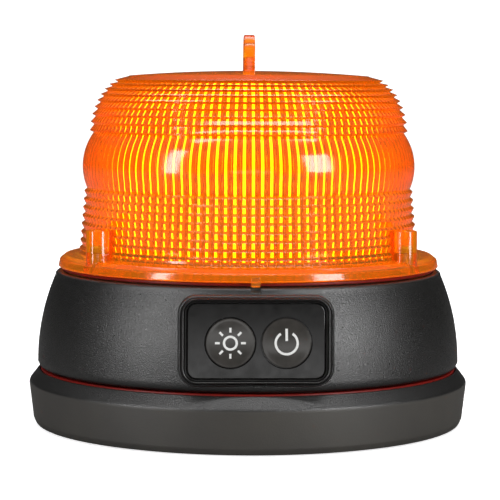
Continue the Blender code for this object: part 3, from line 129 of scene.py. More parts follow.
def cap_faces(columns, row_start, middle):
    """A fan from a loop to one middle point."""
    first = row_start + np.arange(columns)
    return np.stack([first, np.roll(first, -1), np.full(columns, middle)], -1).tolist()


def soften(outline, radius, steps=3, least_turn=20):
    """Rounds the corners of an outline: a corner P with neighbours A and B becomes the curve
    (1-t)^2 P1 + 2t(1-t) P + t^2 P2, where P1 and P2 lie radius away from P along its two sides."""
    outline = [np.asarray(p, float) for p in outline]
    made = [outline[0]]
    for before, corner, after in zip(outline, outline[1:], outline[2:]):
        to_before, to_after = before - corner, after - corner
        sizes = np.linalg.norm(to_before), np.linalg.norm(to_after)
        cosine = -np.dot(to_before, to_after) / (sizes[0] * sizes[1])
        if cosine > math.cos(math.radians(least_turn)):
            made.append(corner)
            continue
        first = corner + to_before * min(radius / sizes[0], 0.45)
        last = corner + to_after * min(radius / sizes[1], 0.45)
        for t in np.linspace(0, 1, steps + 1):
            made.append((1 - t) ** 2 * first + 2 * t * (1 - t) * corner + t**2 * last)
    return [*made, outline[-1]]


# %% Pieces
def mesh_object(name, points, faces, sharp=30):
    """A closed mesh in metres from points in millimetres, its faces turned outwards."""
    mesh = bpy.data.meshes.new(name)
    mesh.from_pydata((np.asarray(points).reshape(-1, 3) * MM).tolist(), [], faces)
    made = bmesh.new()
    made.from_mesh(mesh)
    bmesh.ops.recalc_face_normals(made, faces=made.faces)
    made.to_mesh(mesh)
    made.free()
    shape = bpy.data.objects.new(name, mesh)
    bpy.context.scene.collection.objects.link(shape)
    return smoothed(shape, sharp)


def smoothed(shape, degrees):
    """Smooth shading, but for edges that turn more than this."""
    shape.data.shade_smooth()
    shape.data.set_sharp_from_angle(angle=math.radians(degrees))
    return shape


def moved(shape, x, y):
    """Its mesh moves sideways, so that the object itself stays at the origin."""
    shape.data.transform(Matrix.Translation((x * MM, y * MM, 0)))
    return shape


def packed_box(name):
    """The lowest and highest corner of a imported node, in millimetres."""
    return [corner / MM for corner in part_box(name)]


def show(shape, material, body, stands_for=()):
    """Gives a shape its finish and body, and hides the CAD nodes it stands for."""
    shape.data.materials.clear()
    shape.data.materials.append(material)
    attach(shape, body)
    if stands_for:
        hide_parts(*stands_for)
    print(shape.name, len(shape.data.polygons), "faces")
    return shape


def turned_object(name, outline, angles, sharp=30):
    """A turned solid. Its outline starts and ends on the axis, or closes on itself."""
    outline = np.asarray(outline, float)
    columns = len(angles)
    if outline[0, 0] > 0:
        points = turn(outline, angles)
        return mesh_object(name, points, grid_faces(len(outline), columns, joined=True), sharp)
    rows = turn(outline[1:-1], angles)
    ends = [[0, 0, outline[0, 1]], [0, 0, outline[-1, 1]]]
    points = np.concatenate([rows.reshape(-1, 3), ends])
    count = len(outline) - 2
    faces = grid_faces(count, columns)
    faces += cap_faces(columns, 0, count * columns)
    faces += cap_faces(columns, (count - 1) * columns, count * columns + 1)
    return mesh_object(name, points, faces, sharp)


def combined(shape, other, operation):
    """The Boolean of two closed solids as one mesh. The second is used up."""
    cut = shape.modifiers.new("cut", "BOOLEAN")
    cut.operation = operation
    cut.solver = "MANIFOLD"
    cut.object = other
    graph = bpy.context.evaluated_depsgraph_get()
    mesh = bpy.data.meshes.new_from_object(shape.evaluated_get(graph))
    shape.modifiers.clear()
    shape.data = mesh
    bpy.data.objects.remove(other)
    return shape

# %% [markdown]
# ## Finishes are small node trees
# Every material is a Principled BSDF with some texture in front of it. One function adds a node,
# gives it its settings and links its inputs. Patterns read Object coordinates, which a Mapping
# node turns from metres into millimetres, so that a scale of 2 means two grains a millimetre.


# %% Nodes
def add_node(tree, kind, sockets=(), **settings):
    """One shader node. A socket takes a number, a colour, or another node's output."""
    node = tree.nodes.new("ShaderNode" + kind)
    for name, value in settings.items():
        setattr(node, name, value)
    for name, value in dict(sockets).items():
        if isinstance(value, bpy.types.NodeSocket):
            tree.links.new(value, node.inputs[name])
        else:
            node.inputs[name].default_value = value
    return node


def new_material(name, sockets):
    """A material, its shader, its tree and its own place in millimetres."""
    material = bpy.data.materials.new(name)
    material.use_nodes = True
    tree = material.node_tree
    shader = tree.nodes["Principled BSDF"]
    for key, value in sockets.items():
        shader.inputs[key].default_value = value
    place = add_node(tree, "TexCoord").outputs["Object"]
    millimetres = add_node(tree, "Mapping", {"Vector": place, "Scale": (1000, 1000, 1000)})
    return material, shader, tree, millimetres.outputs["Vector"]


def feed(tree, shader, sockets):
    """Links a pattern to each of the shader's named inputs."""
    for name, pattern in sockets.items():
        tree.links.new(pattern, shader.inputs[name])


def colour_between(tree, factor, codes, low=0.35, high=0.65):
    """A colour ramp over a pattern, from the first hex colour to the last."""
    ramp = add_node(tree, "ValToRGB", {"Fac": factor})
    ramp.color_ramp.elements[0].position = low
    ramp.color_ramp.elements[1].position = high
    for element, code in zip(ramp.color_ramp.elements, codes):
        element.color = srgb(code)
    return ramp.outputs["Color"]


def number_between(tree, factor, low, high, start=0.3, end=0.7):
    """A number that follows a pattern: factor start..end becomes low..high."""
    sockets = {"Value": factor, "From Min": start, "From Max": end, "To Min": low, "To Max": high}
    return add_node(tree, "MapRange", sockets).outputs["Result"]


def bump(tree, shader, height, depth_mm, strength=1.0, under=None):
    """Bends the normal as if the height pattern stood depth_mm proud."""
    sockets = {"Height": height, "Distance": depth_mm * MM, "Strength": strength}
    if under is not None:
        sockets["Normal"] = under
    node = add_node(tree, "Bump", sockets)
    tree.links.new(node.outputs["Normal"], shader.inputs["Normal"])
    return node.outputs["Normal"]


# %% [markdown]
# ## The studio
# The camera sees a white backdrop and a white floor. What the beacon mirrors is a dim room, so
# that the black plastic keeps its depth. Two upright softboxes draw the highlights on its sides,
# a long one overhead draws the bright lines on the lens's ridges, and one behind lights the back.

# %% Stage
FLOOR_SIZE = 6.0
BACKDROP_WHITE = 1.3
ROOM_DIM = 0.025
ROOM_ABOVE = 0.22
ROOM_LOW_WALL = 2.2
FLOOR_GLOW_NEAR = 0.75
FLOOR_GLOW_FAR = 1.0


def add_floor():
    """White for the camera. What it throws back on the beacon is darker, as if screened off."""
    half = FLOOR_SIZE / 2
    corners = [(-half, -half, 0), (half, -half, 0), (half, half, 0), (-half, half, 0)]
    mesh = bpy.data.meshes.new("studio_floor")
    mesh.from_pydata(corners, [], [(0, 1, 2, 3)])
    floor = bpy.data.objects.new("studio_floor", mesh)
    bpy.context.scene.collection.objects.link(floor)
    paint, shader, tree, place = new_material("matt_white_paint", {"Roughness": 0.9})
    grain = add_node(tree, "TexNoise", {"Vector": place, "Scale": 0.02}).outputs["Fac"]
    white = colour_between(tree, grain, ("#F4F4F4", "#FAFAFA"))
    seen = add_node(tree, "LightPath").outputs["Is Camera Ray"]
    paper = add_node(tree, "MixRGB", {"Fac": seen, "Color1": srgb("#747474"), "Color2": white})
    tree.links.new(paper.outputs["Color"], shader.inputs["Base Color"])
    away = add_node(tree, "VectorMath", {"Vector": place}, operation="LENGTH").outputs["Value"]
    glow = number_between(tree, away, FLOOR_GLOW_NEAR, FLOOR_GLOW_FAR, 120, 600)
    shown = add_node(tree, "Math", {0: glow, 1: seen}, operation="MULTIPLY").outputs["Value"]
    tree.links.new(shown, shader.inputs["Emission Strength"])
    shader.inputs["Emission Color"].default_value = (1, 1, 1, 1)
    mesh.materials.append(paint)


def light_room():
    """White for the camera and for what shines through the lens. What the surfaces mirror is a
    dim room, but for a pale low wall in front, which the glossy panel shows along its foot."""
    world = bpy.data.worlds.new("white_studio")
    bpy.context.scene.world = world
    world.use_nodes = True
    tree = world.node_tree
    tree.nodes.clear()
    direction = add_node(tree, "TexCoord").outputs["Generated"]
    parts = add_node(tree, "SeparateXYZ", {"Vector": direction}).outputs
    path = add_node(tree, "LightPath").outputs
    backdrop = number_between(tree, parts["Y"], 0, BACKDROP_WHITE, 0.45, 0.8)
    through = {0: backdrop, 1: path["Is Transmission Ray"]}
    through = add_node(tree, "Math", through, operation="MULTIPLY").outputs["Value"]
    room = number_between(tree, parts["Z"], ROOM_DIM, ROOM_ABOVE, 0.3, 0.8)
    low_wall = number_between(tree, parts["Z"], 0, ROOM_LOW_WALL, 0.034, -0.004)
    ahead = number_between(tree, parts["Y"], 1, 0, -0.985, -0.96)
    low_wall = add_node(tree, "Math", {0: low_wall, 1: ahead}, operation="MULTIPLY")
    for light in (low_wall.outputs["Value"], through):
        room = add_node(tree, "Math", {0: room, 1: light}, operation="ADD").outputs["Value"]
    shown = {"Factor": path["Is Camera Ray"], "A": room, "B": BACKDROP_WHITE}
    strength = add_node(tree, "Mix", shown).outputs["Result"]
    glow = add_node(tree, "Background", {"Color": (1, 1, 1, 1), "Strength": strength})
    add_node(tree, "OutputWorld", {"Surface": glow.outputs["Background"]})


add_floor()
light_room()

# %% Softboxes
SOFTBOXES = [
    # name, azimuth from the front, elevation, distance, width, height, watts
    ("softbox_left", -54.5, 14, 1.2, 0.21, 0.95, 7.0),
    ("softbox_right", 46, 14.5, 1.2, 0.37, 0.62, 7.8),
    ("softbox_above", 5, 68, 1.3, 1.60, 0.17, 6.5),
    ("softbox_behind", 180, 62, 1.5, 1.30, 0.60, 8),
]


def add_softbox(name, azimuth, elevation, distance, width, height, watts):
    """An area light on a sphere round the beacon, turned to face it."""
    flat = math.cos(math.radians(elevation)) * distance
    x = flat * math.sin(math.radians(azimuth))
    y = -flat * math.cos(math.radians(azimuth))
    place = Vector((x, y, 0.06 + distance * math.sin(math.radians(elevation))))
    light = bpy.data.lights.new(name, "AREA")
    light.shape = "RECTANGLE"
    light.size, light.size_y = width, height
    light.energy = watts
    box = bpy.data.objects.new(name, light)
    box.location = place
    box.rotation_euler = (Vector((0, 0, 0.06)) - place).to_track_quat("-Z", "Y").to_euler()
    box.visible_camera = False
    box.visible_transmission = name != "softbox_behind"
    bpy.context.scene.collection.objects.link(box)


for softbox in SOFTBOXES:
    add_softbox(*softbox)
bpy.context.scene.view_settings.view_transform = "Standard"

# %% [markdown]
# ## The lens
# The dome is one moulding of amber polycarbonate. Rings of prisms run round its outside, above
# and below a clear bulge. Its inside is ribbed from top to foot, so that each rib draws its own
# bright upright line of the lamp behind it. Light has to bend through all of this, so the lens
# is a closed solid with a real wall. Outside and inside are two turned surfaces, joined at the
# foot of the spigot that sits in the housing's groove.

# %% Sizes of the lens
lens_low, lens_high = packed_box("lens")
gasket_low, gasket_high = packed_box("lens_gasket")
FLANGE_RADIUS = lens_high.x
FLANGE_Z = gasket_high.z + 0.3
LENS_TOP = lens_high.z - 12.2
SPIGOT_FOOT = lens_low.z
SPIGOT_RADIUS = FLANGE_RADIUS - 8
DOME_EDGE = FLANGE_RADIUS - 24.35
LENS_WALL = 3.4
RIB_COUNT = 120
RIB_DEPTH = 1.05
RIB_PHASE = math.radians(1.0)
RIB_POINTS = 8
OUTSIDE_COLUMNS = 240
print("lens flange radius", FLANGE_RADIUS, "top", LENS_TOP, "foot", FLANGE_Z)


# %% The lens's outline
def upper_ridge(index):
    """Ridge tips on an ellipse round the dome's shoulder, further apart as they go down."""
    height = LENS_TOP - 3.2 - 1.3 * index - 0.105 * index**2
    down = (height - (LENS_TOP - 21.7)) / 20
    return DOME_EDGE + 13.7 * math.sqrt(1 - down**2), height


def lower_ridge(index):
    """Ridge tips 2.78 mm apart, on a cone that widens a little towards the flange."""
    drop = 2.78 * index
    return FLANGE_RADIUS - 8.8 + 0.087 * drop, FLANGE_Z + 25.6 - drop


def bulge(count, inset=0.0):
    """An arc of radius 19.5 through its two ends, its centre on the lens's side."""
    top = np.array([FLANGE_RADIUS - 12.05, LENS_TOP - 21])
    foot = np.array([FLANGE_RADIUS - 9.64, FLANGE_Z + 26.8])
    chord = foot - top
    length = np.hypot(*chord)
    inwards = np.array([chord[1], -chord[0]]) / length
    centre = (top + foot) / 2 + inwards * math.sqrt(19.5**2 - (length / 2) ** 2)
    start = math.atan2(*(top - centre)[::-1])
    end = math.atan2(*(foot - centre)[::-1])
    angles = np.linspace(start, end, count)
    return [centre + (19.5 - inset) * np.array([math.cos(a), math.sin(a)]) for a in angles]


def lens_outside():
    """From the top down to the spigot's foot."""
    crown = [(r, LENS_TOP - 1.7 * (r / DOME_EDGE) ** 2) for r in np.linspace(0, DOME_EDGE, 9)]
    edge = [(DOME_EDGE + 0.5, LENS_TOP - 1.95)]
    ridges = []
    for index in range(9):
        radius, height = upper_ridge(index)
        ridges.append((radius, height))
        if index < 8:
            ridges.append((radius - 1.3, height - 0.75))
    ridges.insert(-1, (ridges[-2][0] + 0.59, ridges[-2][1] - 0.85))
    ridges = soften([*edge, *ridges, bulge(15)[0]], 0.25, 2)
    lower = [bulge(15)[-1]]
    for index in range(8):
        radius, height = lower_ridge(index)
        lower += [(radius - 1.2, height + 0.9), (radius, height)]
    lower = soften([*lower, (FLANGE_RADIUS - 7.6, FLANGE_Z + 5.6)], 0.25, 2)
    flange = [
        lower[-1],
        (FLANGE_RADIUS - 7.2, FLANGE_Z + 4.5),
        (FLANGE_RADIUS - 2.4, FLANGE_Z + 4.0),
        (FLANGE_RADIUS - 0.5, FLANGE_Z + 2.5),
        (FLANGE_RADIUS, FLANGE_Z),
        (FLANGE_RADIUS - 2.2, FLANGE_Z),
        (FLANGE_RADIUS - 2.2, FLANGE_Z + 2.0),
        (SPIGOT_RADIUS + 0.2, FLANGE_Z + 3.6),
        (SPIGOT_RADIUS, SPIGOT_FOOT),
        (SPIGOT_RADIUS - 1, SPIGOT_FOOT),
    ]
    flange = soften(flange, 0.35, 4)
    return np.array([*crown, *ridges, *bulge(15)[1:-1], *lower[:-1], *flange])


def lens_inside():
    """From the spigot's foot up to the top. The third number is how deep the ribs are there."""
    points = [(SPIGOT_RADIUS - 2, SPIGOT_FOOT, 0), (SPIGOT_RADIUS - 2.2, FLANGE_Z + 2.2, 0)]
    wall = [(SPIGOT_RADIUS - 2.3, FLANGE_Z + 4.2), (53.56, FLANGE_Z + 26.2)]
    foot, top = np.array(wall)
    points += [(*((1 - t) * foot + t * top), 1) for t in np.linspace(0, 1, 7)]
    points += [(*point, 1) for point in bulge(9, LENS_WALL)[-2::-1]]
    for index in (7, 6, 5, 4, 3, 2, 1):
        radius, height = upper_ridge(index)
        points.append((radius - LENS_WALL, height - 1, min(1, 0.3 + index * 0.2)))
    points += [(DOME_EDGE - 2.1, LENS_TOP - 4.6, 0.2), (DOME_EDGE - 5, LENS_TOP - 4.2, 0)]
    points += [(r, LENS_TOP - 3 - 1.1 * (r / DOME_EDGE) ** 2, 0) for r in (26, 14, 0)]
    return np.array(points)


# %% The lens's two surfaces
def ribbed_turn():
    """Angles round the inside, and how far each rib has risen there, from 0 to 1. A rib is the
    arc (sin t, cos t) between two valleys, in even steps of t, so its steep sides get enough."""
    half = np.pi * (FLANGE_RADIUS - 12) / RIB_COUNT
    limit = math.asin(2 * half * RIB_DEPTH / (half**2 + RIB_DEPTH**2))
    t = np.linspace(-limit, limit, RIB_POINTS + 1)[:-1]
    across = np.sin(t) / math.sin(limit)
    rise = (np.cos(t) - math.cos(limit)) / (1 - math.cos(limit))
    angles = (np.arange(RIB_COUNT)[:, None] + 0.5 + across / 2) * 2 * np.pi / RIB_COUNT
    return angles.ravel() + RIB_PHASE, np.tile(rise, RIB_COUNT)


def lens_shell():
    outside, inside = lens_outside(), lens_inside()
    inside_columns = RIB_COUNT * RIB_POINTS
    outer = turn(outside[1:], whole_turn(OUTSIDE_COLUMNS) + RIB_PHASE)
    angles, rise = ribbed_turn()
    inner_radius = inside[:-1, 0, None] - RIB_DEPTH * inside[:-1, 2, None] * rise
    height = inside[:-1, 1, None] + 0 * angles
    inner = np.stack([inner_radius * np.cos(angles), inner_radius * np.sin(angles), height], -1)
    outer_count, inner_count = outer[..., 0].size, inner[..., 0].size
    points = np.concatenate([outer.reshape(-1, 3), inner.reshape(-1, 3)])
    points = np.concatenate([points, [[0, 0, LENS_TOP], [0, 0, inside[-1, 1]]]])
    faces = grid_faces(len(outer), OUTSIDE_COLUMNS)
    faces += grid_faces(len(inner), inside_columns, start=outer_count)
    faces += cap_faces(OUTSIDE_COLUMNS, 0, len(points) - 2)
    faces += cap_faces(inside_columns, outer_count + inner_count - inside_columns, len(points) - 1)
    each = inside_columns // OUTSIDE_COLUMNS
    column = np.arange(OUTSIDE_COLUMNS)[:, None]
    rim = outer_count - OUTSIDE_COLUMNS
    along = outer_count + (column * each + np.arange(each, -1, -1)) % inside_columns
    ends = [rim + column, rim + (column + 1) % OUTSIDE_COLUMNS]
    faces += np.concatenate([*ends, along], -1).tolist()
    return mesh_object("lens_moulding", points, faces)


# %% [markdown]
# Four screw bosses stand on the flange, against the ribbed wall. Each is a U in plan, its round
# side outwards. A key tab drops into the housing's notch at the front, and the eyelet stands on
# top: a plate whose rim and hole are both rounded, so its grid closes on itself in both ways.

# %% Bosses, key and eyelet
BOSS_REACH = FLANGE_RADIUS - 4.7
BOSS_RADIUS = 4.05
BOSS_TOP = FLANGE_Z + 14.2
BOSS_TURNS = np.radians([33.4, 146.6, 213.4, 326.6])
EYE_RADIUS = 7.5
EYE_HOLE = 4.3
EYE_HALF = 1.85


def spun_to(points, angle, reach):
    """Points move out along X by reach, then turn about Z."""
    points = np.asarray(points, float) + [reach, 0, 0]
    x, y = points[..., 0], points[..., 1]
    cosine, sine = math.cos(angle), math.sin(angle)
    return np.stack([x * cosine - y * sine, x * sine + y * cosine, points[..., 2]], -1)


def closed_loft(name, rows, sharp=30):
    """A solid from loops of points, its two ends filled by one face each."""
    rows = np.asarray(rows)
    count, columns = rows.shape[:2]
    faces = grid_faces(count, columns)
    faces.append(list(range(columns)))
    faces.append(list(range((count - 1) * columns, count * columns)))
    return mesh_object(name, rows, faces, sharp)


def boss(angle):
    """A U-shaped loop, drawn in by the rounding at its top."""
    rows = []
    rounding = [(0.12, BOSS_TOP - 0.5), (0.25, BOSS_TOP - 0.15), (0.55, BOSS_TOP)]
    for inset, height in [(0, FLANGE_Z + 0.2), *rounding]:
        radius = BOSS_RADIUS - inset
        round_side = np.linspace(-np.pi / 2, np.pi / 2, 33)
        loop = np.stack([radius * np.cos(round_side), radius * np.sin(round_side)], -1)
        loop = np.concatenate([loop, [[-4.2, radius], [-4.2, -radius]]])
        rows.append(np.concatenate([loop, np.full((len(loop), 1), height)], -1))
    return closed_loft("boss", spun_to(np.array(rows), angle, BOSS_REACH))


def boss_well(angle):
    """The well that the screw's head stands in, and the hole under it."""
    seat = FLANGE_Z + 6.7
    outline = [(3.25, BOSS_TOP + 1), (3.1, seat + 0.3), (2.8, seat)]
    outline += [(1.8, seat), (1.8, FLANGE_Z - 1)]
    rows = [turn([point], whole_turn(32))[0] for point in outline]
    return closed_loft("well", spun_to(np.array(rows), angle, BOSS_REACH))


def eyelet():
    """Between the rim P and the hole Q the surface is P + (Q - P) s, at depth x."""
    angles = whole_turn(72)
    y, z = np.sin(angles), np.cos(angles)
    rim_y, rim_z = EYE_RADIUS * y, EYE_RADIUS * z
    below = z < 0
    stretch = np.where(below, np.minimum(1 / np.maximum(np.abs(y), 0.55), 1.6), 1)
    rim_y = np.where(below, np.clip(EYE_RADIUS * y * stretch, -EYE_RADIUS, EYE_RADIUS), rim_y)
    rim_z = np.where(below, EYE_RADIUS * z * stretch, rim_z)
    rim_z = np.maximum(rim_z, -7.2)
    centre = lens_high.z - EYE_RADIUS
    lip = 0.45
    section = [(0, -EYE_HALF + lip), (0.04, -EYE_HALF + 0.13), (0.13, -EYE_HALF)]
    section += [(0.87, -EYE_HALF), (0.96, -EYE_HALF + 0.13), (1, -EYE_HALF + lip)]
    section += [(s, -x) for s, x in reversed(section)]
    s, x = np.array(section).T[..., None]
    across = rim_y + (EYE_HOLE * y - rim_y) * s
    up = centre + rim_z + (EYE_HOLE * z - rim_z) * s
    points = np.stack([x + 0 * y, across, up], -1)
    return mesh_object("eyelet", points, grid_faces(len(section), len(angles), joined=True))


def rounded_box(name, low, high, edge=0.3):
    """A box whose upright edges are rounded, as a loft of loops."""
    low, high = np.array(low), np.array(high)
    middle, size = (low + high) / 2, high - low
    rows = []
    for inset, z in ((edge, low[2]), (0, low[2] + edge), (0, high[2] - edge), (edge, high[2])):
        loop = rounded_rectangle(size[0] - 2 * inset, size[1] - 2 * inset, edge, 3)
        rows.append(np.concatenate([loop + middle[:2], np.full((len(loop), 1), z)], -1))
    return closed_loft(name, rows)


def rounded_rectangle(width, height, corner, steps=8):
    """Four quarter circles, one at each corner, joined by straight sides."""
    quarter = np.linspace(0, np.pi / 2, steps + 1)
    signs = np.array([[1, 1], [-1, 1], [-1, -1], [1, -1]])
    centres = signs * [width / 2 - corner, height / 2 - corner]
    loops = []
    for index, centre in enumerate(centres):
        angles = quarter + index * np.pi / 2
        loops.append(centre + corner * np.stack([np.cos(angles), np.sin(angles)], -1))
    return np.concatenate(loops)


# %% [markdown]
# ### Amber polycarbonate
# Clear plastic dyed through: the further light travels in it, the redder it comes out. So the
# surface is a pale amber glass with the index of polycarbonate, and a Volume Absorption node
# takes out most of the blue within two millimetres and the green within a few. Thick places
# turn deep orange and thin ones stay yellow. A faint painted glow, an emission on the plastic,
# stands for the lamp's light that the plastic scatters.

# %% Amber
DYE_DENSITY = 720
DYE = (0.985, 0.78, 0.1, 1)
# Painted glow: the lens's emission stands for the lamp's light scattered in the plastic.
PAINTED_HAZE_GLOW = 0.11


def amber_polycarbonate():
    """Tinted clear plastic. A painted glow, a faint orange emission, stands for the lamp's light in
    its haze.
    """
    finish = {
        "Transmission Weight": 0.95,
        "IOR": 1.585,
        "Specular IOR Level": 0.32,
        "Base Color": srgb("#FFCC46"),
        "Emission Color": srgb("#FF9C02"),
        "Emission Strength": PAINTED_HAZE_GLOW,
    }
    material, shader, tree, place = new_material("amber_polycarbonate", finish)
    flow = add_node(tree, "TexNoise", {"Vector": place, "Scale": 0.12, "Detail": 3}).outputs["Fac"]
    tree.links.new(number_between(tree, flow, 0.10, 0.15), shader.inputs["Roughness"])
    bump(tree, shader, flow, 0.04, 0.5)
    dye = add_node(tree, "VolumeAbsorption", {"Color": DYE, "Density": DYE_DENSITY})
    tree.links.new(dye.outputs["Volume"], tree.nodes["Material Output"].inputs["Volume"])
    return material


AMBER = amber_polycarbonate()
lens = lens_shell()
for angle in BOSS_TURNS:
    lens = combined(lens, boss(angle), "UNION")
lens = combined(lens, eyelet(), "UNION")
key_low = (-1.45, -FLANGE_RADIUS - 0.9, gasket_low.z - 0.1)
key_high = (1.45, -FLANGE_RADIUS + 0.5, FLANGE_Z + 1.7)
lens = combined(lens, rounded_box("key", key_low, key_high), "UNION")
for angle in BOSS_TURNS:
    lens = combined(lens, boss_well(angle), "DIFFERENCE")
show(smoothed(lens, 32), AMBER, "housing", ["lens"])

# %% [markdown]
# ## Black plastics
# The housing is moulded ABS from a spark-eroded mould, which leaves a coarse satin grain, drawn
# here at about 0.4 mm so that it still shows. Each grain catches the softboxes at its own angle,
# so the highlights sparkle. The foot is nylon from a smoother mould. Its side wall is greyer and
# browner than its black shoulder, partly its own tone and partly painted light from the floor.

# %% Black plastics
BASE_SHOULDER = 18.9
GRAIN_PER_MM = 2.6
FACETS_PER_MM = 2.4
FINE_GRAIN_PER_MM = 2.2


def textured_black_abs():
    """Spark-eroded grain: blunt peaks over a finer one, each facet a little more or less glossy."""
    finish = {"IOR": 1.54, "Specular IOR Level": 1.0}
    material, shader, tree, place = new_material("textured_black_abs", finish)
    wear = add_node(tree, "TexNoise", {"Vector": place, "Scale": 0.05, "Detail": 4}).outputs["Fac"]
    coarse = {"Vector": place, "Scale": GRAIN_PER_MM, "Detail": 4}
    grain = add_node(tree, "TexNoise", coarse).outputs["Fac"]
    facets = add_node(tree, "TexVoronoi", {"Vector": place, "Scale": FACETS_PER_MM}).outputs
    colour = colour_between(tree, wear, ("#0E0D0C", "#151412"))
    sparkle = number_between(tree, facets["Color"], 0.26, 0.46, 0, 1)
    feed(tree, shader, {"Base Color": colour, "Roughness": sparkle})
    under = bump(tree, shader, facets["Distance"], 0.045, 1.0)
    bump(tree, shader, grain, 0.15, 1.0, under)
    return material


def black_nylon():
    """A matt side wall with a faint bloom, its grey partly painted floor light, under a shoulder as
    coarse as the housing's side.
    """
    finish = {"IOR": 1.53, "Specular IOR Level": 1.0}
    material, shader, tree, place = new_material("moulded_black_nylon", finish)
    patterns = []
    for scale, detail in ((0.04, 5), (FINE_GRAIN_PER_MM, 2), (GRAIN_PER_MM, 3)):
        noise = add_node(tree, "TexNoise", {"Vector": place, "Scale": scale, "Detail": detail})
        patterns.append(noise.outputs["Fac"])
    bloom, grain, coarse = patterns
    height = add_node(tree, "SeparateXYZ", {"Vector": place}).outputs["Z"]
    shoulder = number_between(tree, height, 0, 1, BASE_SHOULDER - 4.6, BASE_SHOULDER - 4.0)
    # The side wall's grey is partly the nylon's own tone and partly painted light from the floor.
    wall = colour_between(tree, bloom, ("#3A3733", "#43403A"))
    colour = add_node(tree, "MixRGB", {"Fac": shoulder, "Color1": wall, "Color2": srgb("#131211")})
    gloss = number_between(tree, shoulder, 0.5, 0.36, 0, 1)
    feed(tree, shader, {"Base Color": colour.outputs["Color"], "Roughness": gloss})
    under = bump(tree, shader, grain, 0.03, 1.0)
    rough = add_node(tree, "Math", {0: coarse, 1: shoulder}, operation="MULTIPLY")
    bump(tree, shader, rough.outputs["Value"], 0.16, 1.0, under)
    return material


def moulded_rubber(name, codes, roughness):
    """Soft black rubber: dull, with a faint dusty cast."""
    material, shader, tree, place = new_material(name, {"IOR": 1.52})
    dust = add_node(tree, "TexNoise", {"Vector": place, "Scale": 0.3, "Detail": 6}).outputs["Fac"]
    grain = add_node(tree, "TexNoise", {"Vector": place, "Scale": 5.0}).outputs["Fac"]
    colour = colour_between(tree, dust, codes)
    roughness = number_between(tree, dust, roughness - 0.06, roughness + 0.06)
    feed(tree, shader, {"Base Color": colour, "Roughness": roughness})
    bump(tree, shader, grain, 0.03, 0.8)
    return material


ABS = textured_black_abs()
NYLON = black_nylon()
BEZEL_RUBBER = moulded_rubber("bezel_rubber", ("#151413", "#1B1A19"), 0.34)
PAD_RUBBER = moulded_rubber("foot_rubber", ("#141414", "#1C1B1A"), 0.72)

# %% [markdown]
# ## The foot
# The cover is turned: a rounded side that draws in towards the floor, a shoulder, a seat for the
# seal, and a spigot with four lugs that lock under the housing's ledges. It is a solid with its
# own underside, because the magnet sits in there between eight ribs.

# %% Foot
cover_low, cover_high = packed_box("base_cover")
BASE_RADIUS = cover_high.x
SPIGOT_OUT = BASE_RADIUS - 10
SPIGOT_BORE = SPIGOT_OUT - 2.5
SPIGOT_TOP = cover_high.z


def ring_block(name, inner, outer, low, high, middle, sweep):
    """A piece of a ring, its section carried through sweep degrees."""
    count = max(3, round(sweep / 2))
    angles = np.radians(np.linspace(middle - sweep / 2, middle + sweep / 2, count))
    section = np.array([(inner, low), (outer, low), (outer, high), (inner, high)])
    return closed_loft(name, turn(section, angles).transpose(1, 0, 2))


def base_cover():
    r = BASE_RADIUS
    side = [(r - 0.3, BASE_SHOULDER - 3.7), (r, BASE_SHOULDER - 4.5), (r - 1.4, 2.4)]
    outside = [
        (SPIGOT_OUT, SPIGOT_TOP),
        (SPIGOT_OUT, 17.9),
        (r - 3.7, 17.9),
        (r - 3.6, BASE_SHOULDER - 0.1),
        (r - 3.2, BASE_SHOULDER),
        *side,
        (r - 2.3, cover_low.z + 0.1),
        (r - 4.1, cover_low.z),
    ]
    under = [(r - 4.1, 1.6), (r - 3.9, 3.0), (r - 2.5, 14.0), (r - 3.7, 15.4)]
    under += [(SPIGOT_OUT + 0.4, 15.4), (SPIGOT_BORE + 1.3, 11.0), (2.1, 11.0), (2.1, 16.5)]
    inside = [(5, 17.2), (5.5, 13.5), (SPIGOT_BORE, 13.5), (SPIGOT_BORE, SPIGOT_TOP)]
    outline = [*soften([*outside, *under[:6]], 0.45, 4, 14), *under[6:]]
    outline = [(0, 17.2), *inside, *outline, (0, 16.5)]
    return turned_object("foot_cover", outline, whole_turn(240))


foot = base_cover()
for index in range(8):
    angle = 2 * math.pi * (index + 0.5) / 8
    rib = rounded_box("rib", (55.6, -1.0, 2.4), (72.9, 1.0, 11.7), 0.2)
    rib.data.transform(Matrix.Rotation(angle, 4, "Z"))
    foot = combined(foot, rib, "UNION")
for index in range(4):
    lug = ring_block("lug", SPIGOT_OUT - 0.4, SPIGOT_OUT + 2.3, 23.0, 25.5, 90 * (index + 0.5), 22)
    foot = combined(foot, lug, "UNION")
show(smoothed(foot, 30), NYLON, "base", ["base_cover"])

# %% [markdown]
# ## The battery housing
# A bowed shell under a deck. Its side is an arc that is upright at the foot and leans in to the
# rim, where a thin smooth lip holds the red seal. A rounded block on the front carries the
# panel, so it is added to the shell, and then its pocket and wells are cut.

# %% Panel space
PANEL_WIDTH, PANEL_HEIGHT, PANEL_CORNER = 48.9, 28.6, 6.0
HOUSING_RADIUS = BASE_RADIUS - 2.95
HOUSING_FOOT, DECK_TOP = 19.6, 52.8
PANEL_LEAN = math.radians(86)
panel_middle = (0, (0.45 - HOUSING_RADIUS) * MM, (HOUSING_FOOT + DECK_TOP) / 2 * MM)
PANEL_PLACE = Matrix.Translation(panel_middle) @ Matrix.Rotation(PANEL_LEAN, 4, "X")
DISC_RADIUS = 7.7
DISC_Y = -0.6
BUTTON_X, SENSOR_X = 9.45, -8.05


def on_panel(shape, x=0.0, y=0.0):
    """Moves a mesh from the panel's space, X right and Z out, to its place on the front."""
    shape.data.transform(PANEL_PLACE @ Matrix.Translation((x * MM, y * MM, 0)))
    return shape


